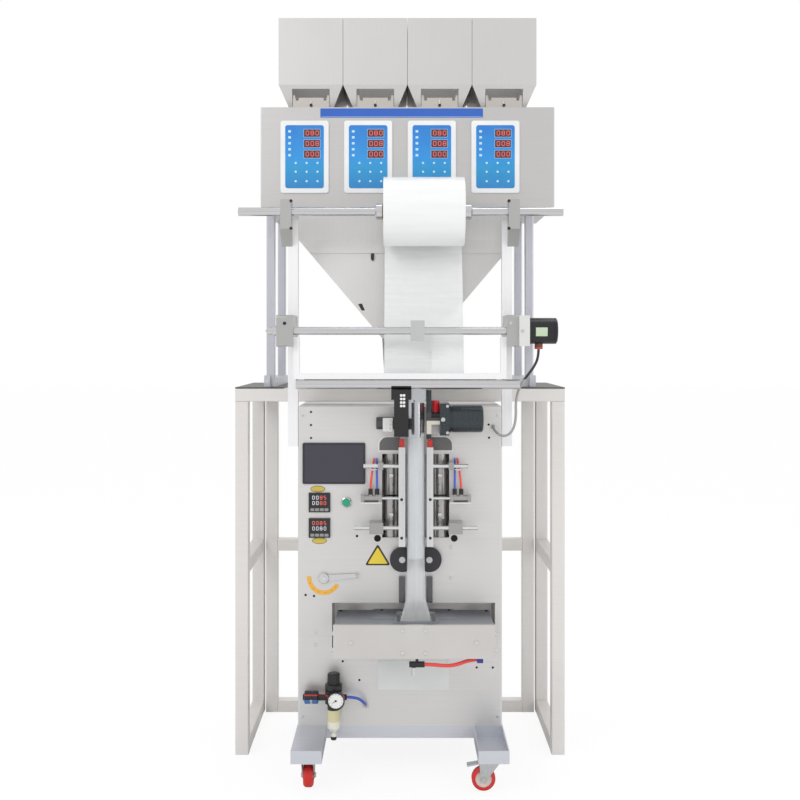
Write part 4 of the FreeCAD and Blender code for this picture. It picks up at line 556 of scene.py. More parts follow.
def finish_machine(made):
    for node, finish in NODE_FINISH.items():
        finish_node(node, made[finish])
    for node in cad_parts:
        if node.startswith("caster_fork"):
            finish_node(node, made["zinc"])
        if node.startswith("caster_wheel"):
            low, high = edges(node)
            axis = 0 if high[0] - low[0] < high[1] - low[1] else 1
            finish_node(node, turned_finish(
                "Finish_" + node, axle(node), axis,
                [(0, (0.50, 0.50, 0.50)), (9.5, (0.78, 0.72, 0.66)), (22.2, (0.66, 0.025, 0.02))],
            ))
    for side in ("left", "right"):
        node = "pull_wheel_" + side
        finish_node(node, turned_finish("Finish_" + node, axle(node), 1, [
            (0, (0.62, 0.62, 0.62)), (8.6, (0.030, 0.029, 0.036)),
        ], 0.5))
        finish_node("seal_bar_" + side, banded("SealBar_" + side, (0.74, 0.75, 0.75), [
            ((None, None, (902.1, 930)), (0.55, 0.03, 0.025), 0.4, 0.0),
        ], 0.22, 0.85, (300.0, 300.0, 5.0)))
    finish_node("front_jaw", banded("JawCarriage", (0.66, 0.64, 0.62), [
        ((None, (-318, -140), (436.9, 439.9)), (0.72, 0.71, 0.69), 0.3, 0.7),
        ((None, (-318, -140), (439.95, 443.4)), (0.34, 0.36, 0.40), 0.35, 0.8),
        (((20, 70), (-340, -319), (326, 350.8)), (0.012, 0.012, 0.014), 0.35, 0.0),
        (((20, 70), (-340, -319), (300, 326.9)), (0.66, 0.66, 0.66), 0.25, 1.0),
        (((200, 230), (-322, -300), (330, 363)), (0.03, 0.04, 0.30), 0.35, 0.0),
    ], 0.38, 0.8, (4.0, 380.0, 380.0)))
    finish_node("sealer_blocks", banded("SealerBlocks", (0.42, 0.41, 0.40), [
        ((None, (-233, -217), (772.4, 790)), (0.014, 0.014, 0.016), 0.35, 0.0),
        ((None, (-215, -170), (748, 752.1)), (0.80, 0.80, 0.78), 0.35, 0.3),
        ((None, (-240, -235.1), (748, 752.1)), (0.80, 0.80, 0.78), 0.35, 0.3),
    ], 0.3, 0.85))
    finish_node("unwind_motor", banded("UnwindMotor", (0.022, 0.022, 0.025), [
        (((300, 346.1), None, None), (0.74, 0.74, 0.72), 0.4, 0.4),
        (((355, 390), None, (1160, 1183.9)), (0.17, 0.06, 0.03), 0.4, 0.3),
        (((355, 390), None, (1160, 1176)), (0.45, 0.06, 0.04), 0.4, 0.0),
    ], 0.3, 0.35))
    finish_node("drive_motor", banded("DriveMotor", (0.045, 0.055, 0.062), [
        (((50, 76), (-264, -256), None), (0.015, 0.015, 0.016), 0.5, 0.0),
        (((72, 112.2), (-264, -230), (940, 998.4)), (0.055, 0.05, 0.05), 0.45, 0.0),
        (((72, 112.2), (-264, -230), (940, 976)), (0.66, 0.62, 0.54), 0.4, 0.3),
        (((86, 113), (-262, -234), (998.4, 1040)), (0.70, 0.03, 0.04), 0.3, 0.0),
    ], 0.28, 0.5))
    finish_node("mark_sensor", banded("MarkSensor", (0.012, 0.012, 0.012), [
        (((-100, -12), (-262, -178), None), (0.10, 0.10, 0.10), 0.35, 0.6),
    ], 0.38, 0.0))
    finish_node("panel_bosses", banded("PanelBosses", (0.70, 0.70, 0.69), [
        (((-40, 130), None, (460, 545)), (0.13, 0.13, 0.14), 0.25, 0.9),
    ], 0.2, 1.0))
    finish_node("air_regulator", banded("AirRegulator", (0.016, 0.016, 0.018), [
        ((None, None, (223, 225.9)), (0.55, 0.03, 0.03), 0.35, 0.0),
        (((-206, -158), (-260, -254), (190, 242)), (0.05, 0.05, 0.05), 0.3, 0.3),
        (((-202, -162), (-236, -190), (108, 181.9)), (0.66, 0.62, 0.36), 0.12, 0.0),
        (((-202, -162), (-236, -190), (108, 150)), (0.78, 0.77, 0.68), 0.12, 0.0),
        (((-202, -162), (-236, -190), (80, 108)), (0.02, 0.02, 0.02), 0.4, 0.0),
        (((-270, -224), None, (188, 212)), (0.05, 0.16, 0.42), 0.35, 0.0),
        (((-246, -240), None, (188, 212)), (0.66, 0.66, 0.66), 0.3, 1.0),
    ], 0.36, 0.0))


# ---------------------------------------------------------------- weigher front
SUNK = 0.3
SEGMENTS = {"0": "abcdef", "5": "afgcd", "8": "abcdefg"}
MEMBRANE_HALF = (55, 90)
DISPLAYS = ((67, "080"), (37, "008"), (7, "000"))
DISPLAY_LEFT, DISPLAY_RIGHT, DISPLAY_HALF_HEIGHT, DISPLAY_RIM = -1.5, 44, 10.5, 1.5
DIGIT_PITCH = 14
LEGEND_LIFTS = (72, 55, 38, 21, 4)
LEGEND_ACROSS, LEGEND_HALF_HEIGHT = (-46.5, -38.5), 3.4
KEY_COLUMNS, KEY_LIFTS, KEY_RADIUS = (-25, 6, 37), (-18, -43, -70), 3.2
TRAY_PITCH, TRAY_SHIFT, TRAY_SCREW_HALF = 185, 21.5, 48.6


def digit(form, x, z, size, thick, front, shown, finish):
    """One seven-segment figure with its lower left corner at x, z."""
    width, height = size
    right, top, half = x + width, z + height, z + height / 2
    end = thick * 0.6
    bars = {
        "a": (x + thick, right - thick, top - thick, top),
        "d": (x + thick, right - thick, z, z + thick),
        "g": (x + thick, right - thick, half - thick / 2, half + thick / 2),
        "f": (x, x + thick, half, top - end),
        "b": (right - thick, right, half, top - end),
        "e": (x, x + thick, z + end, half),
        "c": (right - thick, right, z + end, half),
    }
    corner = thick * 0.3
    for key in SEGMENTS[shown]:
        x0, x1, z0, z1 = bars[key]
        outline = [(x0 + corner, z0), (x1 - corner, z0), (x1, z0 + corner), (x1, z1 - corner),
                   (x1 - corner, z1), (x0 + corner, z1), (x0, z1 - corner), (x0, z0 + corner)]
        form.slab(outline, front + 0.4, front, 0.1, finish)


def panel_skin(skin, x, middle, face):
    """One keypad: membrane, three displays, a column of legends and nine keys."""
    half, tall = MEMBRANE_HALF
    skin.slab(rounded_outline(x - half, x + half, middle - tall, middle + tall, 7), face + SUNK,
              face - 0.8, 0.4, "membrane")
    rim = DISPLAY_RIM
    for lift, shown in DISPLAYS:
        left, right = x + DISPLAY_LEFT, x + DISPLAY_RIGHT
        bottom = middle + lift - DISPLAY_HALF_HEIGHT
        top = bottom + 2 * DISPLAY_HALF_HEIGHT
        skin.slab(rounded_outline(left - rim, right + rim, bottom - rim, top + rim, 1.5), face,
                  face - 1.1, 0.2, "window_rim")
        skin.slab(rounded_outline(left, right, bottom, top, 1.0), face, face - 1.5, 0.2, "window")
        for place, figure in enumerate(shown):
            digit(skin, left + 5 + DIGIT_PITCH * place, bottom + 4, (9.5, 13.5), 1.7, face - 2.0,
                  figure, "red_lamp")
    left, right = (x + across for across in LEGEND_ACROSS)
    for lift in LEGEND_LIFTS:
        bottom, top = middle + lift - LEGEND_HALF_HEIGHT, middle + lift + LEGEND_HALF_HEIGHT
        skin.slab(rounded_outline(left, right, bottom, top, 1.2), face, face - 1.4, 0.3, "pale")
    for column in KEY_COLUMNS:
        for lift in KEY_LIFTS:
            key = ellipse_outline(x + column, middle + lift, KEY_RADIUS, KEY_RADIUS, 20)
            skin.slab(key, face, face - 1.3, 0.3, "pale")


def add_panel_skins(made, count, pitch):
    low, high = edges("control_panels")
    skin = Form(made, "membrane", "window_rim", "window", "red_lamp", "pale")
    for i in range(count):
        panel_skin(skin, (i - (count - 1) / 2) * pitch, (low[2] + high[2]) / 2, low[1])
    skin.piece("panel_skins")


def add_title_strip(made):
    face = edges("weigher_cabinet")[0][1]
    strip = Form(made, "blue", "window_rim")
    strip.slab(rounded_outline(-227.5, 237, 1830.5, 1856.5, 2), face + SUNK, face - 1.0, 0.5)
    strip.slab(rounded_outline(-225, 234.5, 1832.2, 1833.4, 0.5), face, face - 1.3, 0.1,
               "window_rim")
    strip.piece("title_strip")


def add_gate_screws(made, count):
    low = edges("feed_trays")[0]
    gates = Form(made, "dark_screw", "bright")
    for i in range(count):
        x = TRAY_SHIFT + (i - (count - 1) / 2) * TRAY_PITCH
        gates.screw(x, low[1] - 0.2, low[2] + 11, 4.2, 1.6)
        for side in (-1, 1):
            gates.screw(x + side * TRAY_SCREW_HALF, low[1] + 4, low[2] + 8, 2.2, 1.5,
                        finish="bright")
    gates.piece("gate_screws")


# ---------------------------------------------------------------- cabinet front
SCREEN_FRAME = 5
CONTROLLER_HEIGHT = 54.5
CONTROLLER_DIGITS = ("0085", "0080")
CONTROLLER_DIGIT_PITCH, CONTROLLER_ROW_PITCH = 10.6, 15
CONTROLLER_KEY_PITCH, CONTROLLER_KEY_WIDTH = 13, 11
OVAL_PLATES = ((-227.9, 781.6), (-223.3, 638.2))
SCALE_CENTRE, SCALE_INNER, SCALE_OUTER = (-211, 535), 35, 47
SCALE_START, SCALE_STOP = 174, 334
SCALE_MARKS, MARK_REACH = (200, 225, 250, 275, 300, 322), 41
PLATE_X, PLATE_Z, PLATE_SCREW_INSET = (-61, 136), (225, 307), 5


def cabinet_face():
    return edges("bagger_cabinet")[0][1]


def add_screen_glass(made):
    low, high = edges("touch_screen")
    inset = SCREEN_FRAME
    screen = Form(made, "glass")
    screen.slab(rounded_outline(low[0] + inset, high[0] - inset, low[2] + inset, high[2] - inset,
                                1.5), low[1] + 1.2, low[1] + 0.5, 0.3)
    screen.piece("screen_glass")


def controller_face(meters, x0, x1, top, face, lit_right):
    """One controller: window, two rows of figures and a row of keys."""
    bottom = top - CONTROLLER_HEIGHT
    meters.slab(rounded_outline(x0 + 6, x1 - 6, bottom + 16, top - 6, 1), face + 1.4, face + 0.9,
                0.2, "black_gloss")
    for row, shown in enumerate(CONTROLLER_DIGITS):
        for k, figure in enumerate(shown):
            red = k > 1 if lit_right else row == 0
            digit(meters, x0 + 10 + CONTROLLER_DIGIT_PITCH * k,
                  top - 19 - CONTROLLER_ROW_PITCH * row, (6.6, 10.5), 1.3, face + 0.6, figure,
                  "red_lamp" if red else "digit_white")
    for k in range(4):
        left = x0 + 5 + CONTROLLER_KEY_PITCH * k
        meters.slab(rounded_outline(left, left + CONTROLLER_KEY_WIDTH, bottom + 3.5, bottom + 11.5,
                                    1.5), face + 0.2, face - 1.2, 0.6, "grey_key")


def add_controller_faces(made):
    low, high = edges("temperature_controllers")
    meters = Form(made, "black_gloss", "digit_white", "red_lamp", "grey_key")
    controller_face(meters, low[0], high[0], high[2], low[1], True)
    controller_face(meters, low[0], high[0], low[2] + CONTROLLER_HEIGHT, low[1], False)
    meters.piece("controller_faces")


def add_plates_and_scale(made):
    """Two ovals, a bare triangle, the lever's scale and a bare plate."""
    face = cabinet_face()
    signs = Form(made, "yellow", "dark_line", "sign_yellow", "amber", "label", "rim")
    for x, z in OVAL_PLATES:
        signs.slab(ellipse_outline(x, z, 20.5, 9), face + SUNK, face - 0.7, 0.3, "dark_line")
        signs.slab(ellipse_outline(x, z, 19.2, 7.8), face, face - 1.1, 0.3, "yellow")
    signs.slab(rounded_triangle(-97.5, -26, 570, 629.5, 3.5), face + SUNK, face - 0.6, 0.2,
               "dark_line")
    signs.slab(rounded_triangle(-89.5, -34, 574.3, 620, 2.0), face, face - 0.9, 0.2,
               "sign_yellow")
    arc_band(signs, SCALE_CENTRE, SCALE_INNER, SCALE_OUTER, SCALE_START, SCALE_STOP, face, 1.2,
             "amber")
    for degrees in SCALE_MARKS:
        angle = math.radians(degrees)
        mark = ellipse_outline(SCALE_CENTRE[0] + MARK_REACH * math.cos(angle),
                               SCALE_CENTRE[1] + MARK_REACH * math.sin(angle), 1.0, 1.0, 12)
        signs.slab(mark, face, face - 1.5, 0.1, "dark_line")
    signs.slab(rounded_outline(*PLATE_X, *PLATE_Z, 3), face + SUNK, face - 0.9, 0.4, "label")
    inset = PLATE_SCREW_INSET
    for x in (PLATE_X[0] + inset, PLATE_X[1] - inset):
        for z in (PLATE_Z[0] + inset, PLATE_Z[1] - inset):
            signs.screw(x, face - 0.9, z, 2.0, 1.0, finish="rim")
    signs.piece("plates_and_scale")


def add_button_ring(made):
    low, high = edges("power_button")
    ring = Form(made, "chrome")
    centre = ((low[0] + high[0]) / 2, cabinet_face() - 4.5, (low[2] + high[2]) / 2)
    ring.turned(centre, (0, -1, 0), [
        (0, 14.2), (1.2, 14.2), (2.2, 12.4), (2.2, 11.7), (0.5, 11.6),
    ], count=40)
    ring.piece("button_ring")


def rounded_triangle(x0, x1, z0, z1, radius):
    """A triangle standing on its base, with rounded corners."""
    corners = [Vector((x0, z0)), Vector((x1, z0)), Vector(((x0 + x1) / 2, z1))]
    points = []
    for i, corner in enumerate(corners):
        before = (corners[i - 1] - corner).normalized()
        after = (corners[(i + 1) % 3] - corner).normalized()
        half = before.angle(after) / 2
        centre = corner + (before + after).normalized() * radius / math.sin(half)
        start = corner + before * radius / math.tan(half) - centre
        sweep = math.pi - 2 * half
        for k in range(6):
            points.append(tuple(centre + Matrix.Rotation(sweep * k / 5, 2) @ start))
    return points


def arc_band(form, centre, inner, outer, start, stop, back, height, finish):
    """A curved strip lying on the cabinet's front."""
    steps = 28
    points = []
    for radius, order in ((outer, range(steps + 1)), (inner, range(steps, -1, -1))):
        for k in order:
            angle = math.radians(start + (stop - start) * k / steps)
            points.append((centre[0] + radius * math.cos(angle),
                           centre[1] + radius * math.sin(angle)))
    rings = [[(x, y, z) for x, z in points] for y in (back + SUNK, back - height)]
    count = len(points)
    quads = []
    for level in range(2):
        for k in range(steps):
            a = level * count + k
            b = level * count + count - 1 - k
            quads.append((a, a + 1, b - 1, b) if level else (b, b - 1, a + 1, a))
    walls = [(i, (i + 1) % count, count + (i + 1) % count, count + i) for i in range(count)]
    form.faces([p for ring in rings for p in ring], quads + walls, finish)


# ---------------------------------------------------------------- screws and bolts
CABINET_HOLES = (
    (-246.9, 995.2, 3.2), (-246.9, 959.1, 3.2), (-246.9, 923.0, 3.2), (245.8, 960.2, 3.2),
    (246.9, 923.9, 3.2), (-119.3, 651.2, 3.6), (-158.7, 303.7, 3.2), (-112.6, 251.8, 3.2),
    (212.7, 286.5, 3.2), (257.4, 286.5, 3.2), (-261.8, 487.6, 3.4), (-238.5, 484.8, 3.4),
    (-62.4, 644.8, 9.6), (150.3, 644.8, 9.6),
)
CABINET_BOLTS = ((141.5, 620.7), (141.5, 535.8), (-235.8, 384.9), (-235.8, 350.0))
CORNER_SCREWS = [(x, z) for x in (-270, 270) for z in (985, 150)]
COVER_FACE = -174.4
COVER_SCREWS = ((-24.5, -19.8), (111.5, 107.4))
BAR_SCREWS = (("left", 4.5), ("right", 82.5))
JAW_FACE = -331.0
JAW_FRONT_SCREWS = ((6.6, 424.8), (68.7, 424.8), (6.6, 365.8), (68.7, 365.8), (-129.6, 393),
                    (202.3, 393))
JAW_END_SCREWS = ((-177, -1), (252, 1))
ROLLER_LEVEL = 1219
REEL_SCREW_LEVELS = (1575, 1500)
UP = (0, 0, 1)


def add_cabinet_holes(made):
    face = cabinet_face()
    holes = Form(made, "hole", "bright")
    # Near-black discs just proud of the front: painted shade in place of the holes' dark insides.
    for x, z, radius in CABINET_HOLES:
        holes.slab(ellipse_outline(x, z, radius, radius, 24), face + 0.2, face - 0.25, 0.05)
    for x, z in CABINET_BOLTS:
        holes.screw(x, face, z, 4.2, 2.6, finish="bright")
    for x, z in CORNER_SCREWS:
        holes.screw(x, face, z, 3.4, 2.0, finish="bright")
    holes.piece("cabinet_holes")


def add_cover_screws(made):
    screws = Form(made, "bright", "dark_screw")
    for large_x, small_x in COVER_SCREWS:
        for z in (819, 710):
            screws.screw(large_x, COVER_FACE, z, 6.2, 3.5)
            for small_z in (z + 24, z - 26):
                screws.screw(small_x, COVER_FACE + 2.2, small_z, 2.4, 1.8, finish="dark_screw")
    screws.piece("cover_screws")


def add_bar_screws(made):
    for side, x in BAR_SCREWS:
        pair = Form(made, "dark_screw")
        for z in (760, 655):
            pair.screw(x, edges("seal_bar_" + side)[0][1], z, 4.0, 1.2)
        pair.piece("bar_screws_" + side, "seal_bar_" + side)


def add_jaw_screws(made):
    jaw = Form(made, "bright", "dark_screw")
    for x, z in JAW_FRONT_SCREWS:
        jaw.screw(x, JAW_FACE, z, 5.8, 3.2)
    for x, way in JAW_END_SCREWS:
        for z in (417, 373):
            jaw.turned((x, -325, z), (way, 0, 0), [(0, 6.5), (2.6, 6.5), (3.4, 5.4), (3.4, 2.5)])
    for x in (-50.2, 136.7):
        jaw.screw(x, -168, 443, 4.2, 2.0, UP, "dark_screw")
    for x in (-166, 241):
        jaw.screw(x, -164, 440, 5.0, 2.6, UP, "dark_screw")
    jaw.piece("jaw_screws", "front_jaw")


def add_frame_bolts(made):
    bolts = Form(made, "bright", "dark_screw")
    bracket_face = edges("roller_brackets")[0][1]
    bolts.screw(-308.5, bracket_face, ROLLER_LEVEL + 20, 4.6, 2.6, finish="dark_screw")
    bolts.screw(296.5, bracket_face, ROLLER_LEVEL + 20, 4.6, 2.6)
    bolts.screw(325.9, edges("unwind_motor")[0][1], ROLLER_LEVEL - 0.6, 4.6, 2.4)
    for x in (-298, 298):
        for z in REEL_SCREW_LEVELS:
            bolts.screw(x, edges("reel_blocks")[0][1], z, 4.4, 2.6, finish="dark_screw")
    bolts.screw(-378, -86.5, 1078, 5.0, 3.0)
    bolts.piece("frame_bolts")


# ---------------------------------------------------------------- sealer and funnel
WINGS = ((-0.5, -61.5), (87.5, 148.5))
WING_BOTTOM, WING_TOP, WING_RADIUS, WING_RIM = 884.0, 930.0, 26.0, 4.5
TIE_OUT, TIE_BOTTOM, TIE_TOP = 113.6, 837.6, 840.8


def wing_outline(inner, outer, bottom, top, radius):
    """A plate with one rounded upper corner, towards outer."""
    way = math.copysign(1, outer - inner)
    cx, cz = outer - way * radius, top - radius
    arc = [(cx + way * radius * math.sin(a), cz + radius * math.cos(a))
           for a in [math.pi / 2 * k / 12 for k in range(13)]]
    return [(inner, top)] + arc + [(outer, bottom), (inner, bottom)]


def add_wing_skins(made):
    """Dark wing plates with a white rim."""
    face = cabinet_face() - 3.0
    rims = Form(made, "wing", "rim")
    for inner, outer in WINGS:
        rims.slab(wing_outline(inner, outer, WING_BOTTOM, WING_TOP, WING_RADIUS), face + 0.2,
                  face - 0.6, 0.2, "rim")
        inset = math.copysign(WING_RIM, outer - inner)
        plate = wing_outline(inner, outer - inset, WING_BOTTOM + WING_RIM + 1,
                             WING_TOP - WING_RIM, WING_RADIUS - WING_RIM)
        rims.slab(plate, face, face - 1.0, 0.2, "wing")
    rims.piece("wing_skins")


def add_hose_ties(made):
    ties = Form(made, "white")
    for way in (-1, 1):
        x = FILM_X + way * TIE_OUT
        loop = ellipse_outline(x, -214.3, 9.2, 4.4, 24)
        ties.stack([[(px, py, z) for px, py in loop] for z in (TIE_BOTTOM, TIE_TOP)])
        ties.turned((x + way * 3, -218.9, 839.2), (0, -1, 0), [(0, 2.2), (2.5, 2.2)], count=12)
    ties.piece("hose_ties")


def add_funnel_clips(made):
    clips = Form(made, "dark_screw")
    clips.slab([(-119, 1297), (-108, 1299), (-92, 1262), (-97, 1257)], -96, -101, 1.0)
    clips.slab([(-83, 1442), (-74, 1442), (-74, 1424), (-78, 1421), (-83, 1426)], -83, -90, 0.8)
    clips.piece("funnel_clips")


# ---------------------------------------------------------------- motors and sensor
DRIVE_Y, DRIVE_Z, DRIVE_RADIUS = -223.0, 980.0, 37.7
UNWIND_Y, UNWIND_RADIUS = -275, 35.2
CONNECTOR_LEVELS = (1046.4, 1036.8, 1027.2, 1018.1)
CONNECTOR_COLUMNS = ((0, 6.5), (7.5, 14))


def add_motor_plates(made):
    """A band and a bare plate on the drive motor, and a bare plate on the unwind motor."""
    drive = Form(made, "teal", "label", "bright")
    barrel = (DRIVE_Y, DRIVE_Z, DRIVE_RADIUS)
    curved_plate(drive, (142, 214), *barrel, (28, 62), 0.4, "teal")
    curved_plate(drive, (138, 213), *barrel, (-17, 12), 0.9, "label")
    for lift in (36, -36):
        drive.screw(128, -268, DRIVE_Z + lift, 4.2, 2.4, finish="bright")
    drive.screw(116, -268, DRIVE_Z, 6.0, 4.0, finish="bright")
    drive.piece("drive_motor_plates")
    unwind = Form(made, "pale_label")
    curved_plate(unwind, (362, 393), UNWIND_Y, ROLLER_LEVEL, UNWIND_RADIUS, (-24, 14), 0.6,
                 "pale_label")
    unwind.piece("unwind_motor_plate")


def add_sensor_connectors(made):
    sensor = Form(made, "white", "bright")
    for level in CONNECTOR_LEVELS:
        for left, right in CONNECTOR_COLUMNS:
            sensor.slab(rounded_outline(left, right, level - 3.2, level + 3.2, 1.2), -300, -301.6,
                        0.5)
    sensor.slab(rounded_outline(-47, -20, 945, 982, 2.5), -226.8, -233, 1.0)
    for k in range(3):
        sensor.screw(-27, -233, 953 + 11 * k, 2.6, 1.4, finish="bright")
    sensor.piece("sensor_connectors")


def curved_plate(form, span, y, z, radius, arc, height, finish):
    """A thin plate bent round a barrel whose axis runs along X; arc is above the front."""
    steps = 10
    inner, outer = [], []
    for k in range(steps + 1):
        angle = math.radians(arc[0] + (arc[1] - arc[0]) * k / steps)
        for reach, row in ((radius - SUNK, inner), (radius + height, outer)):
            row.append((y - reach * math.cos(angle), z + reach * math.sin(angle)))
    section = outer + inner[::-1]
    count = len(section)
    points = [(x, py, pz) for x in span for py, pz in section]
    quads = [(i, (i + 1) % count, count + (i + 1) % count, count + i) for i in range(count)]
    for base, flip in ((0, False), (count, True)):
        for k in range(steps):
            quad = (base + k, base + k + 1, base + count - 2 - k, base + count - 1 - k)
            quads.append(quad[::-1] if flip else quad)
    form.faces(points, quads, finish)


# ---------------------------------------------------------------- air set
GAUGE_X, GAUGE_Z = -174.0, 216.0
GAUGE_MARKS, GAUGE_FIRST, GAUGE_STEP = 11, 225, 27
NEEDLE_ANGLE, NEEDLE_LENGTH = 215, 14


def gauge_mark(gauge, centre, angle, front):
    """One radial mark on the dial."""
    along = Vector((math.cos(angle), math.sin(angle)))
    across = Vector((-along.y, along.x)) * 0.45
    near, far = centre + along * 15.5, centre + along * 19.0
    outline = [near + across, far + across, far - across, near - across]
    gauge.slab([tuple(point) for point in outline], front + 1.4, front + 1.2, 0.01, "black")


def add_gauge_dial(made):
    front = edges("air_regulator")[0][1]
    centre = Vector((GAUGE_X, GAUGE_Z))
    gauge = Form(made, "dial", "black")
    gauge.turned((GAUGE_X, front + 2.2, GAUGE_Z), (0, -1, 0), [(0, 20.6), (0.8, 20.6)], "dial", 40)
    for k in range(GAUGE_MARKS):
        gauge_mark(gauge, centre, math.radians(GAUGE_FIRST - GAUGE_STEP * k), front)
    needle = math.radians(NEEDLE_ANGLE)
    along = Vector((math.cos(needle), math.sin(needle)))
    side = Vector((-along.y, along.x)) * 1.2
    tip = centre + along * NEEDLE_LENGTH
    gauge.slab([tuple(centre + side), tuple(tip), tuple(centre - side)], front + 1.4,
               front + 0.8, 0.05, "black")
    gauge.turned((GAUGE_X, front + 1.4, GAUGE_Z), (0, -1, 0), [(0, 2.6), (1.2, 2.6), (1.5, 1.4)],
                 "black", 20)
    gauge.piece("gauge_dial")


def add_lock_ring(made):
    ring = Form(made, "red")
    ring.turned((-182, -214, 222.2), UP, [
        (0, 24.0), (0, 24.4), (1.6, 24.6), (3.4, 24.4), (3.4, 23.9),
    ], count=40)
    ring.piece("lock_ring")


# ---------------------------------------------------------------- cords
# Diameter, stiffness, slot, finish, body and control points of each cord.
CORDS = {
    "unwind_motor_cable": (7, "limp", "cable_black", "cable", MACHINE, (
        (373.0, -275.0, 1169.7), (372.3, -274.5, 1147.0), (362.0, -269.0, 1123.0),
        (346.0, -258.0, 1100.0), (331.0, -247.0, 1078.0), (320.0, -240.0, 1052.0),
        (315.0, -236.0, 1022.0), (316.5, -233.0, 990.0), (313.0, -230.0, 960.0),
        (301.0, -226.0, 937.0), (281.0, -219.0, 930.0), (264.0, -207.0, 941.0),
        (257.5, -191.0, 952.0), (257.0, -177.0, 956.0))),
    "regulator_tube": (8, "limp", "tube_blue", "tube_blue", MACHINE, (
        (-145.7, -214.0, 215.0), (-126.0, -213.5, 214.5), (-108.0, -208.0, 206.5),
        (-98.0, -195.5, 191.5), (-95.5, -177.0, 183.0))),
    "jaw_tube": (10, "medium", "tube_red", "tube_red", "front_jaw", (
        (65.3, -325.0, 335.0), (88.0, -325.0, 334.2), (112.0, -324.5, 331.5),
        (136.0, -323.0, 331.0), (159.0, -318.5, 335.0), (182.0, -313.5, 342.5),
        (204.2, -312.0, 344.5))),
}
HOSE_RISE = ((-225.0, 788.3), (-223.2, 805.2), (-218.9, 822.7), (-214.2, 839.0), (-209.6, 848.4),
             (-202.6, 856.2), (-193.7, 861.8), (-183.9, 864.7), (-178.6, 865.4))
HOSE_OUT = {
    "red": (124.0, 123.2, 121.2, 118.8, 117.3, 116.3, 116.0, 116.0, 116.0),
    "blue": (106.0, 106.1, 106.5, 107.0, 107.5, 107.8, 108.0, 108.0, 108.0),
}
FILM_X = 43.5
SEAL_TUBE = 6


def curved_line(name, points, resolution):
    """A smooth line through given control points, in millimetres."""
    data = bpy.data.curves.new(name, "CURVE")
    data.dimensions = "3D"
    line = data.splines.new("NURBS")
    line.points.add(len(points) - 1)
    for point, place in zip(line.points, points):
        point.co = (*(v * MM for v in place), 1.0)
    line.order_u = 3
    line.use_endpoint_u = True
    line.resolution_u = resolution
    return data


def line_length(name, points):
    """Length in metres of the line through the same points."""
    data = curved_line(name, points, 12)
    holder = bpy.data.objects.new(name, data)
    path = bpy.data.meshes.new_from_object(holder)
    length = sum((path.vertices[a].co - path.vertices[b].co).length
                 for a, b in (edge.vertices for edge in path.edges))
    bpy.data.objects.remove(holder)
    bpy.data.curves.remove(data)
    bpy.data.meshes.remove(path)
    return length


def lay_cord(name, diameter, material, body, points):
    """A round cord in place of the node of that name, riding on the given body."""
    data = curved_line(name + "_line", points, 8)
    data.bevel_depth = diameter * MM / 2
    data.bevel_resolution = 4
    data.use_fill_caps = True
    data.materials.append(material)
    made = bpy.data.objects.new(name + "_line", data)
    bpy.context.scene.collection.objects.link(made)
    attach(made, body)
    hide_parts(name)
    tuple(v * MM for v in points[0])
    line_length(name + "_probe", points)
    diameter * MM


def lay_cords(made):
    for name, (diameter, stiffness, slot, finish, body, points) in CORDS.items():
        lay_cord(name, diameter, made[finish], body, points)
    for side, s in (("left", -1), ("right", 1)):
        for colour, outs in HOSE_OUT.items():
            points = [(FILM_X + s * x, y, z) for x, (y, z) in zip(outs, HOSE_RISE)]
            lay_cord("seal_tube_%s_%s" % (side, colour), SEAL_TUBE,
                     made["tube_" + colour], MACHINE, points)


# ---------------------------------------------------------------- stage
def area_light(name, place, aim, size, power):
    data = bpy.data.lights.new(name, "AREA")
    data.shape = "DISK"
    data.size = size
    data.energy = power
    lamp_object = bpy.data.objects.new(name, data)
    lamp_object.location = place
    lamp_object.rotation_euler = (Vector(aim) - Vector(place)).to_track_quat("-Z", "Y").to_euler()
    bpy.context.scene.collection.objects.link(lamp_object)


CAMERA_PLACE = (0, -3.451, 1.181)
LENS, SENSOR, LENS_SHIFT = 53.1, 36, -0.06875
FLOOR_REACH, FLOOR_DROP = 30, 0.0005
FLOOR_WHITE, GLOW_STRENGTH = 0.84, 1.04
LAMPS = (
    ("Key", (-2.4, -3.0, 3.2), (0, 0, 1.1), 1.6, 1.0),
    ("Fill", (2.8, -2.6, 1.6), (0, 0, 1.0), 2.0, 0.45),
    ("Top", (0.3, 0.6, 4.2), (0, 0, 1.2), 1.8, 0.5),
)


def place_camera(scene):
    """A level camera in front, shifted so that uprights stay upright."""
    data = bpy.data.cameras.new("Front camera")
    data.lens = LENS
    data.sensor_width = SENSOR
    data.shift_y = LENS_SHIFT
    camera = bpy.data.objects.new("Front camera", data)
    camera.location = CAMERA_PLACE
    camera.rotation_euler = (math.radians(90), 0, 0)
    scene.collection.objects.link(camera)
    scene.camera = camera


def lay_floor(scene):
    """A pale floor that takes the shadow and is nearly white to the camera."""
    reach = FLOOR_REACH
    mesh = bpy.data.meshes.new("Floor")
    corners = [(-reach, -reach, 0), (reach, -reach, 0), (reach, reach, 0), (-reach, reach, 0)]
    mesh.from_pydata(corners, [], [(0, 1, 2, 3)])
    floor = bpy.data.objects.new("Floor", mesh)
    floor.location.z = -FLOOR_DROP
    scene.collection.objects.link(floor)
    graph = Graph("PaleFloor")
    cloud = graph.noise((1.5, 1.5, 1.5), 2.0)
    pale = graph.mix(cloud, (0.86, 0.86, 0.86), (0.88, 0.88, 0.88))
    matt = graph.node("ShaderNodeBsdfDiffuse", {}, {"Color": pale})
    glow = graph.node("ShaderNodeEmission", {}, {
        "Color": (1, 1, 1, 1), "Strength": GLOW_STRENGTH})
    seen = graph.node("ShaderNodeLightPath", out="Is Camera Ray")
    mesh.materials.append(graph.surface(graph.node("ShaderNodeMixShader", {}, {
        0: seen * FLOOR_WHITE, 1: matt, 2: glow})))


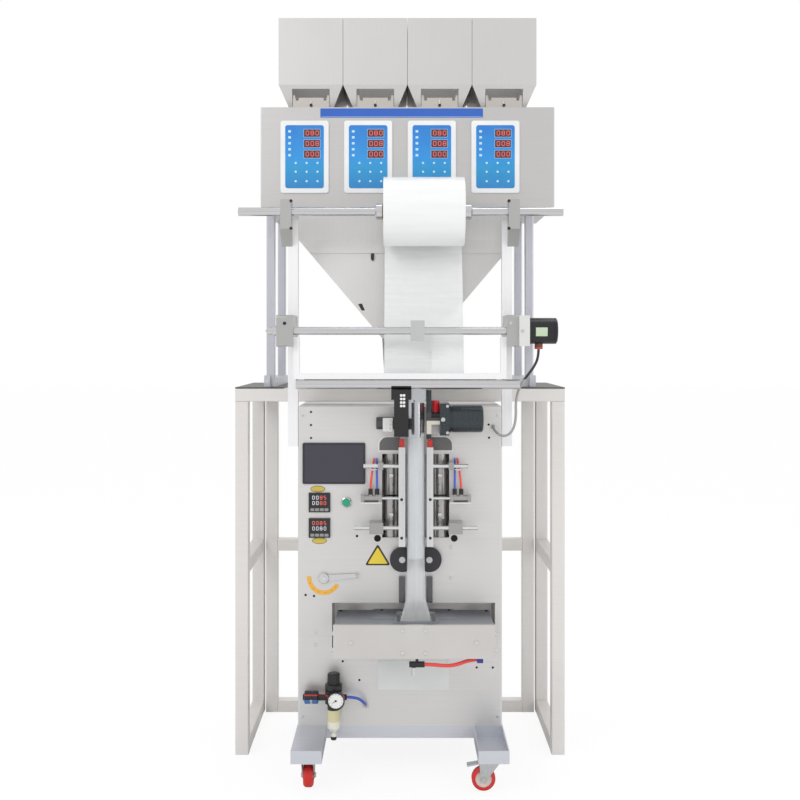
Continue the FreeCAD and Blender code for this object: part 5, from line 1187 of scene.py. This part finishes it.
def light_room(scene, ambient):
    """White to the camera and through glass, and an even light to everything else."""
    scene.world = bpy.data.worlds.new("Studio")
    graph = Graph("Studio", scene.world)
    camera = graph.node("ShaderNodeLightPath", out="Is Camera Ray")
    through = Term(graph, camera.socket.node.outputs["Is Transmission Ray"])
    seen = graph.node("ShaderNodeMath", {"operation": "MAXIMUM"}, {0: camera, 1: through})
    strength = graph.node("ShaderNodeMix", {}, {0: seen, 2: ambient, 3: 1.0})
    sky = graph.node("ShaderNodeBackground", {}, {"Color": (1, 1, 1, 1), "Strength": strength})
    graph.surface(sky, "ShaderNodeOutputWorld")


def build_stage(look):
    scene = bpy.context.scene
    scene.view_settings.view_transform = "Standard"
    place_camera(scene)
    lay_floor(scene)
    light_room(scene, look.ambient)
    for name, place, aim, size, share in LAMPS:
        area_light(name, place, aim, size, look.key_power * share)


# ---------------------------------------------------------------- add-on
class WeigherLook(bpy.types.PropertyGroup):
    """Colours, sizes and light levels that can be changed before dressing the machine."""

    stand_colour: FloatVectorProperty(
        name="Stand colour", description="Tint of the tube stand", subtype="COLOR", size=3,
        default=(0.80, 0.775, 0.75), min=0, max=1)
    sheet_colour: FloatVectorProperty(
        name="Sheet colour", description="Tint of the stainless sheet", subtype="COLOR", size=3,
        default=(0.70, 0.69, 0.68), min=0, max=1)
    film_opacity: FloatProperty(
        name="Film opacity", description="How milky the packing film is", default=0.72,
        min=0.1, max=1, subtype="FACTOR")
    heads: IntProperty(
        name="Weigher heads", description="Number of control panels", default=4, min=1, max=8)
    panel_pitch: FloatProperty(
        name="Panel pitch", description="Distance between control panels in millimetres",
        default=181.5, min=100, max=300)
    ambient: FloatProperty(
        name="Room light", description="Strength of the even light from all round",
        default=0.86, min=0, max=2)
    key_power: FloatProperty(
        name="Key light", description="Power of the main soft light", default=34.0, min=0,
        max=500, subtype="POWER")


FINISHES = {}


def finishes(look):
    """The finishes, made once."""
    if not FINISHES:
        FINISHES.update(make_finishes(look))
    return FINISHES


class WEIGHER_OT_stage(bpy.types.Operator):
    """Builds the camera, floor, room and lights"""

    bl_idname = "weigher.stage"
    bl_label = "Stage"

    def execute(self, context):
        build_stage(context.scene.weigher_look)
        return {"FINISHED"}


class WEIGHER_OT_cords(bpy.types.Operator):
    """Lays the hoses and the motor cable"""

    bl_idname = "weigher.cords"
    bl_label = "Cords"

    def execute(self, context):
        lay_cords(finishes(context.scene.weigher_look))
        return {"FINISHED"}


class WEIGHER_OT_machine(bpy.types.Operator):
    """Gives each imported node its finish"""

    bl_idname = "weigher.machine"
    bl_label = "Machine finishes"

    def execute(self, context):
        finish_machine(finishes(context.scene.weigher_look))
        return {"FINISHED"}


class WEIGHER_OT_panel_skins(bpy.types.Operator):
    """Adds keypads, displays and legends to the control panels"""

    bl_idname = "weigher.panel_skins"
    bl_label = "Panel skins"

    def execute(self, context):
        look = context.scene.weigher_look
        add_panel_skins(finishes(look), look.heads, look.panel_pitch)
        return {"FINISHED"}


class WEIGHER_OT_title_strip(bpy.types.Operator):
    """Adds the bare blue strip above the control panels"""

    bl_idname = "weigher.title_strip"
    bl_label = "Title strip"

    def execute(self, context):
        add_title_strip(finishes(context.scene.weigher_look))
        return {"FINISHED"}


class WEIGHER_OT_gate_screws(bpy.types.Operator):
    """Adds the screws of the feed trays"""

    bl_idname = "weigher.gate_screws"
    bl_label = "Gate screws"

    def execute(self, context):
        look = context.scene.weigher_look
        add_gate_screws(finishes(look), look.heads)
        return {"FINISHED"}


class WEIGHER_OT_screen_glass(bpy.types.Operator):
    """Adds the glass of the touch screen"""

    bl_idname = "weigher.screen_glass"
    bl_label = "Screen glass"

    def execute(self, context):
        add_screen_glass(finishes(context.scene.weigher_look))
        return {"FINISHED"}


class WEIGHER_OT_controllers(bpy.types.Operator):
    """Adds displays and keys to the temperature controllers"""

    bl_idname = "weigher.controllers"
    bl_label = "Controller faces"

    def execute(self, context):
        add_controller_faces(finishes(context.scene.weigher_look))
        return {"FINISHED"}


class WEIGHER_OT_plates(bpy.types.Operator):
    """Adds the bare plates, the triangle and the lever scale"""

    bl_idname = "weigher.plates"
    bl_label = "Plates and scale"

    def execute(self, context):
        add_plates_and_scale(finishes(context.scene.weigher_look))
        return {"FINISHED"}


class WEIGHER_OT_button_ring(bpy.types.Operator):
    """Adds the ring around the power button"""

    bl_idname = "weigher.button_ring"
    bl_label = "Button ring"

    def execute(self, context):
        add_button_ring(finishes(context.scene.weigher_look))
        return {"FINISHED"}


class WEIGHER_OT_cabinet_holes(bpy.types.Operator):
    """Adds near-black discs painted as the shade of small holes, and bolts, to the cabinet front
    """

    bl_idname = "weigher.cabinet_holes"
    bl_label = "Cabinet holes"

    def execute(self, context):
        add_cabinet_holes(finishes(context.scene.weigher_look))
        return {"FINISHED"}


class WEIGHER_OT_cover_screws(bpy.types.Operator):
    """Adds the screws of the sealer covers"""

    bl_idname = "weigher.cover_screws"
    bl_label = "Cover screws"

    def execute(self, context):
        add_cover_screws(finishes(context.scene.weigher_look))
        return {"FINISHED"}


class WEIGHER_OT_bar_screws(bpy.types.Operator):
    """Adds the screws of both seal bars"""

    bl_idname = "weigher.bar_screws"
    bl_label = "Bar screws"

    def execute(self, context):
        add_bar_screws(finishes(context.scene.weigher_look))
        return {"FINISHED"}


class WEIGHER_OT_jaw_screws(bpy.types.Operator):
    """Adds the screws of the front jaw"""

    bl_idname = "weigher.jaw_screws"
    bl_label = "Jaw screws"

    def execute(self, context):
        add_jaw_screws(finishes(context.scene.weigher_look))
        return {"FINISHED"}


class WEIGHER_OT_frame_bolts(bpy.types.Operator):
    """Adds the bolts of the reel and roller blocks"""

    bl_idname = "weigher.frame_bolts"
    bl_label = "Frame bolts"

    def execute(self, context):
        add_frame_bolts(finishes(context.scene.weigher_look))
        return {"FINISHED"}


class WEIGHER_OT_wing_skins(bpy.types.Operator):
    """Adds the rimmed wing plates above the sealer"""

    bl_idname = "weigher.wing_skins"
    bl_label = "Wing skins"

    def execute(self, context):
        add_wing_skins(finishes(context.scene.weigher_look))
        return {"FINISHED"}


class WEIGHER_OT_hose_ties(bpy.types.Operator):
    """Adds the ties around the air tubes"""

    bl_idname = "weigher.hose_ties"
    bl_label = "Hose ties"

    def execute(self, context):
        add_hose_ties(finishes(context.scene.weigher_look))
        return {"FINISHED"}


class WEIGHER_OT_funnel_clips(bpy.types.Operator):
    """Adds the small clips of the funnel"""

    bl_idname = "weigher.funnel_clips"
    bl_label = "Funnel clips"

    def execute(self, context):
        add_funnel_clips(finishes(context.scene.weigher_look))
        return {"FINISHED"}


class WEIGHER_OT_motor_plates(bpy.types.Operator):
    """Adds bands and bare plates to both motors"""

    bl_idname = "weigher.motor_plates"
    bl_label = "Motor plates"

    def execute(self, context):
        add_motor_plates(finishes(context.scene.weigher_look))
        return {"FINISHED"}


class WEIGHER_OT_sensor(bpy.types.Operator):
    """Adds the connectors and screws of the mark sensor"""

    bl_idname = "weigher.sensor"
    bl_label = "Sensor connectors"

    def execute(self, context):
        add_sensor_connectors(finishes(context.scene.weigher_look))
        return {"FINISHED"}


class WEIGHER_OT_gauge_dial(bpy.types.Operator):
    """Adds the dial and needle of the pressure gauge"""

    bl_idname = "weigher.gauge_dial"
    bl_label = "Gauge dial"

    def execute(self, context):
        add_gauge_dial(finishes(context.scene.weigher_look))
        return {"FINISHED"}


class WEIGHER_OT_lock_ring(bpy.types.Operator):
    """Adds the red ring under the regulator knob"""

    bl_idname = "weigher.lock_ring"
    bl_label = "Lock ring"

    def execute(self, context):
        add_lock_ring(finishes(context.scene.weigher_look))
        return {"FINISHED"}


STEPS = (
    WEIGHER_OT_stage,
    WEIGHER_OT_cords,
    WEIGHER_OT_machine,
    WEIGHER_OT_panel_skins,
    WEIGHER_OT_title_strip,
    WEIGHER_OT_gate_screws,
    WEIGHER_OT_screen_glass,
    WEIGHER_OT_controllers,
    WEIGHER_OT_plates,
    WEIGHER_OT_button_ring,
    WEIGHER_OT_cabinet_holes,
    WEIGHER_OT_cover_screws,
    WEIGHER_OT_bar_screws,
    WEIGHER_OT_jaw_screws,
    WEIGHER_OT_frame_bolts,
    WEIGHER_OT_wing_skins,
    WEIGHER_OT_hose_ties,
    WEIGHER_OT_funnel_clips,
    WEIGHER_OT_motor_plates,
    WEIGHER_OT_sensor,
    WEIGHER_OT_gauge_dial,
    WEIGHER_OT_lock_ring,
)


class WEIGHER_PT_looks(bpy.types.Panel):
    """Lists the look's values and the dressing steps"""

    bl_label = "Weigher"
    bl_idname = "WEIGHER_PT_looks"
    bl_space_type = "VIEW_3D"
    bl_region_type = "UI"
    bl_category = "Weigher"

    def draw(self, context):
        look = context.scene.weigher_look
        for name in WeigherLook.__annotations__:
            self.layout.prop(look, name)
        for each in STEPS:
            self.layout.operator(each.bl_idname)


def register():
    bpy.utils.register_class(WeigherLook)
    for each in STEPS:
        bpy.utils.register_class(each)
    bpy.utils.register_class(WEIGHER_PT_looks)
    bpy.types.Scene.weigher_look = PointerProperty(type=WeigherLook)


def unregister():
    del bpy.types.Scene.weigher_look
    bpy.utils.unregister_class(WEIGHER_PT_looks)
    for each in reversed(STEPS):
        bpy.utils.unregister_class(each)
    bpy.utils.unregister_class(WeigherLook)


def main():
    register()
    for each in STEPS:
        name = each.bl_idname.split(".")[1]
        getattr(bpy.ops.weigher, name)()


if __name__ == "__main__":
    main()
